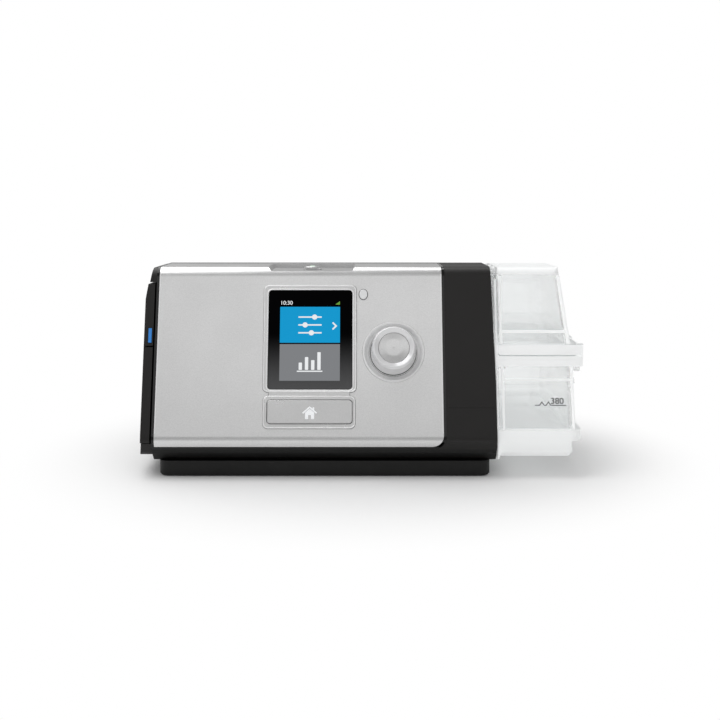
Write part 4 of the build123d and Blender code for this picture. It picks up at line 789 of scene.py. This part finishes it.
# ---------------------------------------------------------------- pieces
WINDOW_TOP = 0.45 * MM                # front of the screen window above the face
KEY_TOP = 1.5 * MM                    # front of the home key above the face
BEZEL_TOP = 0.8 * MM                  # front of the control bezel above the face
FASCIA_LEFT = -114.8 * MM             # left and right edge of the fascia, across the face
FASCIA_RIGHT = 46.7 * MM
# EDGE_INSET places the painted highlight strip that stands for the fascia's rounded side edge
EDGE_INSET = 0.35 * MM                # middle of the fascia's bright edge inside the edge itself
FACE_FLAT = (5.5 * MM, 98.0 * MM)     # the fascia is flat between these, up the face
SENSOR = (1.9 * MM, 85.8 * MM)        # middle of the light sensor, across and up the face
SENSOR_RADII = (2.45 * MM, 3.05 * MM)
DIAL_SHELF = (13.45 * MM, -2.6 * MM)  # radius and level of the shelf around the knob
DOCK_SPAN = (49.5 * MM, 75.5 * MM)    # ends of the dock cover's lowest seam, across the face
SEAM_UP = 1.4 * MM
SEAM_LEVELS = (-0.43 * MM, -0.37 * MM)   # behind the face's plane, because the nose rounds back there
TUB_BEHIND = -3.0 * MM                # the tub's face lies this far behind the casing's
LEVEL_LINE = 40.8 * MM                # level mark above the floor
LAYER = 0.03 * MM                     # thickness of a printed or lit layer


def draw_picture():
    """Lit tiles and symbols of the screen."""
    chosen = bpy.context.scene.cpap_screen
    body, slot = "casing", "screen_glass"
    left, right = chosen.left, chosen.right
    tiles = (
        ("screen_tile_upper", chosen.tile_split + 0.25 * MM, chosen.header_low, "tile_blue"),
        ("screen_tile_lower", chosen.tile_low, chosen.tile_split - 0.6 * MM, "tile_grey"),
    )
    for name, low, high, finish in tiles:
        outline = rounded(left, right, low, high, 0.15 * MM, 3)
        slab(name, outline, WINDOW_TOP, WINDOW_TOP + LAYER, finish, body)
    level = WINDOW_TOP + LAYER
    top = level + LAYER
    middle = (left + right) / 2
    # three sliders, each a line with a knob
    upper = (chosen.tile_split + chosen.header_low) / 2
    for row, (offset, knob) in enumerate(((4.6, 2.6), (0.0, -2.8), (-4.6, 0.8))):
        height = upper + offset * MM
        name = f"screen_slider_{row}"
        line = [(middle - 6.6 * MM, height), (middle + 6.6 * MM, height)]
        stroke(name, line, 0.8 * MM, level, top, "picture_white", body, slot)
        round_knob = ring_line(middle + knob * MM, height, 1.5 * MM)[:-1]
        slab(name + "_knob", round_knob, top, top + LAYER, "picture_white", body)
    arrow = np.array([(-4.2, 1.4), (-2.2, -0.6), (-4.2, -2.6)]) * MM + (right, upper)
    stroke("screen_arrow", arrow, 0.9 * MM, level, top, "picture_white", body, slot)
    # column chart on a base line
    lower = (chosen.tile_low + chosen.tile_split) / 2
    base = [(middle - 7.2 * MM, lower - 5.4 * MM), (middle + 7.2 * MM, lower - 5.4 * MM)]
    stroke("screen_chart_line", base, 0.7 * MM, level, top, "picture_white", body, slot)
    for column, tall in enumerate((4.2, 7.4, 5.6, 10.2)):
        x = middle + (column * 3.5 - 5.25) * MM
        foot = lower - 4.6 * MM
        outline = rounded(x - 0.95 * MM, x + 0.95 * MM, foot, foot + tall * MM, 0.3 * MM, 3)
        name = f"screen_chart_column_{column}"
        slab(name, outline, level, top, "picture_white", body)
    # clock and signal strength in the header
    header = chosen.header_low + 1.3 * MM
    number("screen_clock", "10:30", 3.2 * MM, left, header, WINDOW_TOP, LAYER, "picture_white", body)
    for step in range(4):
        x = right - (2.4 - step * 0.6) * MM
        outline = [(x, header), (x + 0.45 * MM, header), (x + 0.45 * MM, header + (0.6 + step * 0.45) * MM),
                   (x, header + (0.4 + step * 0.45) * MM)]
        slab(f"screen_signal_{step}", outline, WINDOW_TOP, level, "picture_green", body)


def draw_home_mark():
    """House pictogram on the home key."""
    middle, foot = -28.1 * MM, 13.6 * MM
    high = KEY_TOP + LAYER
    for name, corners in (
        ("home_mark_wall_left", [(-2.5, 0.0), (-0.8, 0.0), (-0.8, 2.3), (-2.5, 2.3)]),
        ("home_mark_wall_right", [(0.8, 0.0), (2.5, 0.0), (2.5, 2.3), (0.8, 2.3)]),
        ("home_mark_gable", [(-2.5, 2.3), (2.5, 2.3), (2.5, 3.6), (0.0, 5.7), (-2.5, 3.6)]),
    ):
        outline = np.array(corners) * MM + (middle, foot)
        slab(name, outline, KEY_TOP, high, "white_ink", "home_key")
    roof = np.array([(-3.9, 3.3), (0.0, 6.7), (3.9, 3.3)]) * MM + (middle, foot)
    stroke("home_mark_roof", roof, 0.75 * MM, KEY_TOP, high, "white_ink", "home_key", "silver_paint")
    chimney = np.array([(2.1, 4.9), (2.1, 6.6)]) * MM + (middle, foot)
    stroke("home_mark_chimney", chimney, 0.9 * MM, KEY_TOP, high, "white_ink", "home_key", "silver_paint")


def draw_outlines():
    """Raised outlines on the fascia, the rim of the light sensor, the dial's shelf and the dock's seam:
    bright beads and edge strips as painted highlights, a dark sensor rim and seam line as painted shade.
    """
    body = "casing"
    # left, right, lower and upper edge, corner radius and width of the bead, in millimetres
    outlines = (
        ("bezel_outline", (-54.3, -2.4, 29.4, 90.8, 2.6), 0.7),
        ("home_outline", (-54.0, -3.1, 8.8, 26.5, 2.6), 0.7),
        ("window_outline", (-52.45, -3.85, 29.95, 88.65, 2.4), 0.8),
    )
    # the bright beads are painted highlights for the rounded edges of the bezel, the home key's frame and
    # the window
    for name, corners, width in outlines:
        outline = rounded(*(value * MM for value in corners))
        bead(name, outline, width * MM, 0.5 * MM, BEZEL_TOP, "silver_painted_highlight", body)
    # a thin bright strip inside each side edge of the fascia: painted highlight of its rounded edge
    for side, x in (("left", FASCIA_LEFT + EDGE_INSET), ("right", FASCIA_RIGHT - EDGE_INSET)):
        edge = [(x, level) for level in FACE_FLAT]
        rib(f"fascia_highlight_{side}", edge, 0.5 * MM, 0.16 * MM, 0.0, "silver_painted_highlight", body)
    turn = np.linspace(0.0, 2 * math.pi, 32, endpoint=False)
    oval = np.array(SENSOR) + np.array(SENSOR_RADII) * np.stack([np.cos(turn), np.sin(turn)], axis=1)
    # a charcoal rim around the light sensor's lens: painted shade where the lens meets the face
    bead("sensor_shade_rim", oval, 0.45 * MM, 0.3 * MM, 0.05 * MM, "charcoal", body)
    # the floor of the gap around the knob
    shelf_radius, shelf_level = DIAL_SHELF
    shelf = ring_line(*DIAL, shelf_radius, 64)[:-1]
    bead("dial_shelf", shelf, 0.6 * MM, 0.6 * MM, shelf_level, "dish", body)
    # a thin dark gloss line for the dock cover's lowest seam: painted shade that stands in for the groove
    seam = [(x, SEAM_UP) for x in DOCK_SPAN]
    stroke("dock_seam_shade_line", seam, 0.3 * MM, *SEAM_LEVELS, "piano", body, "dark_gloss")


def on_tub(height):
    """How far up the face a point on the tub's front is, from its height above the floor in millimetres."""
    return (height * MM - FACE_ZERO[2] - TUB_BEHIND * math.sin(LEAN)) / math.cos(LEAN)


def draw_tub_edges():
    """Thick frosted edges and ribs on the front of the tub and its lid. They follow real edges, and their
    faint glow and white colour are painted highlights.
    """
    for name, body, start, end, width in (
        ("lid_edge_left", "lid", (80.2, 110.8), (80.2, 73.0), 1.6),
        ("lid_edge_right", "lid", (113.9, 110.8), (118.6, 73.0), 2.0),
        ("lid_edge_low", "lid", (81.0, 79.8), (117.0, 79.8), 1.7),
        ("flange_rib_upper", "lid", (80.4, 71.0), (121.0, 71.0), 2.0),
        ("flange_rib_lower", "tub", (80.4, 62.6), (121.0, 62.6), 2.2),
        ("bulkhead_edge", "tub", (77.5, 109.0), (77.5, 27.0), 1.2),
        ("body_rib", "tub", (80.4, 53.4), (120.4, 53.4), 1.5),
        ("body_edge_left", "tub", (80.7, 60.6), (80.7, 27.0), 1.4),
        ("body_edge_right", "tub", (119.8, 60.6), (119.8, 27.0), 1.5),
        ("skirt_rib", "tub", (80.0, 24.4), (120.6, 24.4), 2.0),
    ):
        line = [(x * MM, on_tub(height)) for x, height in (start, end)]
        rib(name, line, width * MM, 0.7 * MM, TUB_BEHIND, "frosted", body)


def draw_level_mark():
    """Printed ripple line and number on the tub's front."""
    up = (LEVEL_LINE - FACE_ZERO[2]) / math.cos(LEAN)
    low, high = TUB_BEHIND + LAYER / 2, TUB_BEHIND + LAYER * 2
    ripple = np.array([
        (98.4, 0.0), (101.0, 0.0), (102.3, 1.9), (103.6, 0.0),
        (104.7, 0.0), (106.0, 1.9), (107.3, 0.0), (115.9, 0.0),
    ]) * MM + (0.0, up)
    stroke("level_mark_line", ripple, 0.45 * MM, low, high, "dark_ink", "tub", "clear_plastic")
    foot = up + 0.8 * MM
    number(
        "level_mark_number", "380", 5.0 * MM, 107.2 * MM, foot, low, LAYER, "dark_ink", "tub"
    )


def draw_heater_springs():
    """Four coil springs under the heater plate, which squeeze as it sinks; here they are drawn at one fixed
    height.

    A circle of the wire's radius is carried around a rising helix: at each turn angle its centre lies at
    the coil's radius from the axis, and its second angle runs from the outside of the coil downwards.
    """
    low, high = (np.array(corner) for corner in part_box("heater_springs"))
    coil, wire, turns, sink = 2.4 * MM, 0.45 * MM, 2.5, 1.5 * MM
    turn = np.linspace(0.0, turns * 2 * math.pi, 91)[:, None]
    around = np.linspace(0.0, 2 * math.pi, 12, endpoint=False)
    reach = coil + wire * np.cos(around)
    rise = wire + (high[2] - low[2] - 2 * wire) * turn / turn[-1] - wire * np.sin(around)
    points = np.stack([reach * np.cos(turn), reach * np.sin(turn), rise], axis=-1)
    edge = coil + wire
    places = [
        (x, y, low[2]) for x in (low[0] + edge, high[0] - edge) for y in (low[1] + edge, high[1] - edge)
    ]
    springs = grid_mesh("heater_coils", points, "steel", "casing", places=places)
    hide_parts("heater_springs")
    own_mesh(springs)


# ---------------------------------------------------------------- stage, in metres
FLOOR_REACH = 6.0                     # from the middle of the floor to its sides
SHADOW_RANGE = (0.118, 0.215)         # the floor turns from shadowed to white between these distances
SHADOW_WHITE = 0.02                   # share of white in the shadowed middle
CAMERA_PLACE = (0.0, -0.68897, 0.15312)
CAMERA_DOWN = math.radians(8.0)
LAMP_TARGET = (0.0, 0.0, 0.05)
FRONT_LAMP = ((0.25, -1.37, 1.07), (2.2, 0.7))   # place and size
TOP_LAMP = ((-0.5, 0.3, 1.35), (2.0, 1.2))


def make_floor(chosen):
    """A wide plain floor that keeps the object's shadow and shows as white to the camera."""
    mesh = bpy.data.meshes.new("floor")
    corners = [(x * FLOOR_REACH, y * FLOOR_REACH, 0.0) for x, y in ((-1, -1), (1, -1), (1, 1), (-1, 1))]
    mesh.from_pydata(corners, [], [(0, 1, 2, 3)])
    floor = bpy.data.objects.new("floor", mesh)
    bpy.context.scene.collection.objects.link(floor)
    material = bpy.data.materials.new("painted_floor_matt")
    material.use_nodes = True
    tree = material.node_tree
    tree.nodes.clear()
    path = add_node(tree, "ShaderNodeLightPath")
    straight = add_node(
        tree, "ShaderNodeMath", {0: path.outputs["Is Camera Ray"], 1: path.outputs["Is Transmission Ray"]},
        operation="MAXIMUM",
    )
    seen = add_node(
        tree,
        "ShaderNodeMath",
        {0: straight.outputs[0], 1: path.outputs["Is Glossy Ray"]},
        operation="MAXIMUM",
    )
    place = add_node(tree, "ShaderNodeTexCoord").outputs["Object"]
    far = add_node(tree, "ShaderNodeVectorMath", {0: place}, operation="LENGTH")
    fade = add_node(
        tree,
        "ShaderNodeMapRange",
        {
            "Value": far.outputs["Value"], "From Min": SHADOW_RANGE[0], "From Max": SHADOW_RANGE[1],
            "To Min": SHADOW_WHITE, "To Max": 1.0,
        },
        interpolation_type="SMOOTHSTEP",
    )
    share = add_node(
        tree, "ShaderNodeMath", {0: seen.outputs[0], 1: fade.outputs["Result"]}, operation="MULTIPLY"
    )
    paint_coat = add_node(tree, "ShaderNodeBsdfDiffuse", {"Color": chosen.floor[:]})
    glow = add_node(tree, "ShaderNodeEmission", {"Color": (1.0, 1.0, 1.0, 1.0), "Strength": 1.0})
    mixed = add_node(
        tree, "ShaderNodeMixShader", {0: share.outputs[0], 1: paint_coat.outputs[0], 2: glow.outputs[0]}
    )
    add_node(tree, "ShaderNodeOutputMaterial", {"Surface": mixed.outputs[0]})
    mesh.materials.append(material)


def make_world(chosen):
    """Even light from all around, shown as white to the camera and through glass."""
    world = bpy.data.worlds.new("studio")
    bpy.context.scene.world = world
    world.use_nodes = True
    tree = world.node_tree
    tree.nodes.clear()
    path = add_node(tree, "ShaderNodeLightPath")
    seen = add_node(
        tree, "ShaderNodeMath", {0: path.outputs["Is Camera Ray"], 1: path.outputs["Is Transmission Ray"]},
        operation="MAXIMUM",
    )
    strength = add_node(
        tree, "ShaderNodeMapRange", {"Value": seen.outputs[0], "To Min": chosen.world, "To Max": 1.0}
    )
    light = add_node(
        tree, "ShaderNodeBackground", {"Color": (1.0, 1.0, 1.0, 1.0), "Strength": strength.outputs["Result"]}
    )
    add_node(tree, "ShaderNodeOutputWorld", {"Surface": light.outputs[0]})


def make_lamp(name, place, size, power):
    """A large soft lamp that faces the machine."""
    data = bpy.data.lights.new(name, "AREA")
    data.shape = "RECTANGLE"
    data.size, data.size_y = size
    data.energy = power
    lamp = bpy.data.objects.new(name, data)
    bpy.context.scene.collection.objects.link(lamp)
    lamp.location = place
    away = np.array(place) - np.array(LAMP_TARGET)
    flat = math.hypot(away[0], away[1])
    lamp.rotation_euler = (math.atan2(flat, away[2]), 0.0, math.atan2(away[1], away[0]) + math.pi / 2)


def make_camera(chosen):
    """Camera a little above the machine, looking down by 8 degrees at the middle of the front."""
    data = bpy.data.cameras.new("camera")
    data.lens = chosen.lens
    data.sensor_width = 36.0
    data.clip_start = 0.01
    camera = bpy.data.objects.new("camera", data)
    bpy.context.scene.collection.objects.link(camera)
    camera.location = CAMERA_PLACE
    camera.rotation_euler = (math.pi / 2 - CAMERA_DOWN, 0.0, 0.0)
    bpy.context.scene.camera = camera


# ---------------------------------------------------------------- operators
class CPAP_OT_casing(bpy.types.Operator):
    """Finish the casing, its covers, doors and feet"""

    bl_idname = "cpap.casing"
    bl_label = "Casing and covers"

    def execute(self, context):
        paint("casing")
        return {"FINISHED"}


class CPAP_OT_controls(bpy.types.Operator):
    """Finish the keys, the dial, the screen window and the lamp"""

    bl_idname = "cpap.controls"
    bl_label = "Keys, dial and window"

    def execute(self, context):
        paint("controls")
        return {"FINISHED"}


class CPAP_OT_picture(bpy.types.Operator):
    """Draw the lit tiles and symbols of the screen"""

    bl_idname = "cpap.picture"
    bl_label = "Screen picture"

    def execute(self, context):
        draw_picture()
        return {"FINISHED"}


class CPAP_OT_home_mark(bpy.types.Operator):
    """Print the house pictogram on the home key"""

    bl_idname = "cpap.home_mark"
    bl_label = "Home key mark"

    def execute(self, context):
        draw_home_mark()
        return {"FINISHED"}


class CPAP_OT_outlines(bpy.types.Operator):
    """Raise the outlines of the fascia, the bezel, the home frame and the sensor"""

    bl_idname = "cpap.outlines"
    bl_label = "Control outlines"

    def execute(self, context):
        draw_outlines()
        return {"FINISHED"}


class CPAP_OT_tub(bpy.types.Operator):
    """Finish the water tub, its lid, latch, seal and plate"""

    bl_idname = "cpap.tub"
    bl_label = "Water tub"

    def execute(self, context):
        paint("tub")
        return {"FINISHED"}


class CPAP_OT_tub_edges(bpy.types.Operator):
    """Raise the frosted edges of the tub and its lid, with their painted highlights"""

    bl_idname = "cpap.tub_edges"
    bl_label = "Tub edges"

    def execute(self, context):
        draw_tub_edges()
        return {"FINISHED"}


class CPAP_OT_level_mark(bpy.types.Operator):
    """Print the level mark on the tub"""

    bl_idname = "cpap.level_mark"
    bl_label = "Level mark"

    def execute(self, context):
        draw_level_mark()
        return {"FINISHED"}


class CPAP_OT_inside(bpy.types.Operator):
    """Finish the boards, blower, ducts, muffler and heater"""

    bl_idname = "cpap.inside"
    bl_label = "Inner pieces"

    def execute(self, context):
        paint("inside")
        return {"FINISHED"}


class CPAP_OT_heater_springs(bpy.types.Operator):
    """Coil the springs that hold the heater plate up"""

    bl_idname = "cpap.heater_springs"
    bl_label = "Heater springs"

    def execute(self, context):
        draw_heater_springs()
        return {"FINISHED"}


class CPAP_OT_stage(bpy.types.Operator):
    """Make the floor, the light and the camera"""

    bl_idname = "cpap.stage"
    bl_label = "Stage"

    def execute(self, context):
        chosen = context.scene.cpap_stage
        make_floor(chosen)
        make_world(chosen)
        make_lamp("front_lamp", *FRONT_LAMP, chosen.key)
        make_lamp("top_lamp", *TOP_LAMP, chosen.top)
        make_camera(chosen)
        context.scene.view_settings.view_transform = "Standard"
        return {"FINISHED"}


class CPAP_PT_sidebar(bpy.types.Panel):
    """Lists the pieces' operators and settings"""

    bl_label = "CPAP machine"
    bl_idname = "CPAP_PT_sidebar"
    bl_space_type = "VIEW_3D"
    bl_region_type = "UI"
    bl_category = "CPAP"

    def draw(self, context):
        for kind in OPERATORS:
            self.layout.operator(kind.bl_idname)
        for setting, _ in SETTINGS:
            group = getattr(context.scene, setting)
            # the first two properties are Blender's own
            for name in group.bl_rna.properties.keys()[2:]:
                self.layout.prop(group, name)


SETTINGS = (
    ("cpap_finish", CpapFinishSettings),
    ("cpap_screen", CpapScreenSettings),
    ("cpap_stage", CpapStageSettings),
)
OPERATORS = (
    CPAP_OT_casing,
    CPAP_OT_controls,
    CPAP_OT_picture,
    CPAP_OT_home_mark,
    CPAP_OT_outlines,
    CPAP_OT_tub,
    CPAP_OT_tub_edges,
    CPAP_OT_level_mark,
    CPAP_OT_inside,
    CPAP_OT_heater_springs,
    CPAP_OT_stage,
)


def register():
    """Register the settings, the operators and the panel."""
    for name, kind in SETTINGS:
        bpy.utils.register_class(kind)
        setattr(bpy.types.Scene, name, bpy.props.PointerProperty(type=kind))
    for kind in OPERATORS + (CPAP_PT_sidebar,):
        bpy.utils.register_class(kind)


def unregister():
    """Take everything off again."""
    for kind in reversed(OPERATORS + (CPAP_PT_sidebar,)):
        bpy.utils.unregister_class(kind)
    for name, kind in reversed(SETTINGS):
        delattr(bpy.types.Scene, name)
        bpy.utils.unregister_class(kind)


def main():
    """Register and make every piece in order."""
    register()
    bpy.ops.cpap.casing()
    bpy.ops.cpap.controls()
    bpy.ops.cpap.picture()
    bpy.ops.cpap.home_mark()
    bpy.ops.cpap.outlines()
    bpy.ops.cpap.tub()
    bpy.ops.cpap.tub_edges()
    bpy.ops.cpap.level_mark()
    bpy.ops.cpap.inside()
    bpy.ops.cpap.heater_springs()
    bpy.ops.cpap.stage()


if __name__ == "__main__":
    main()
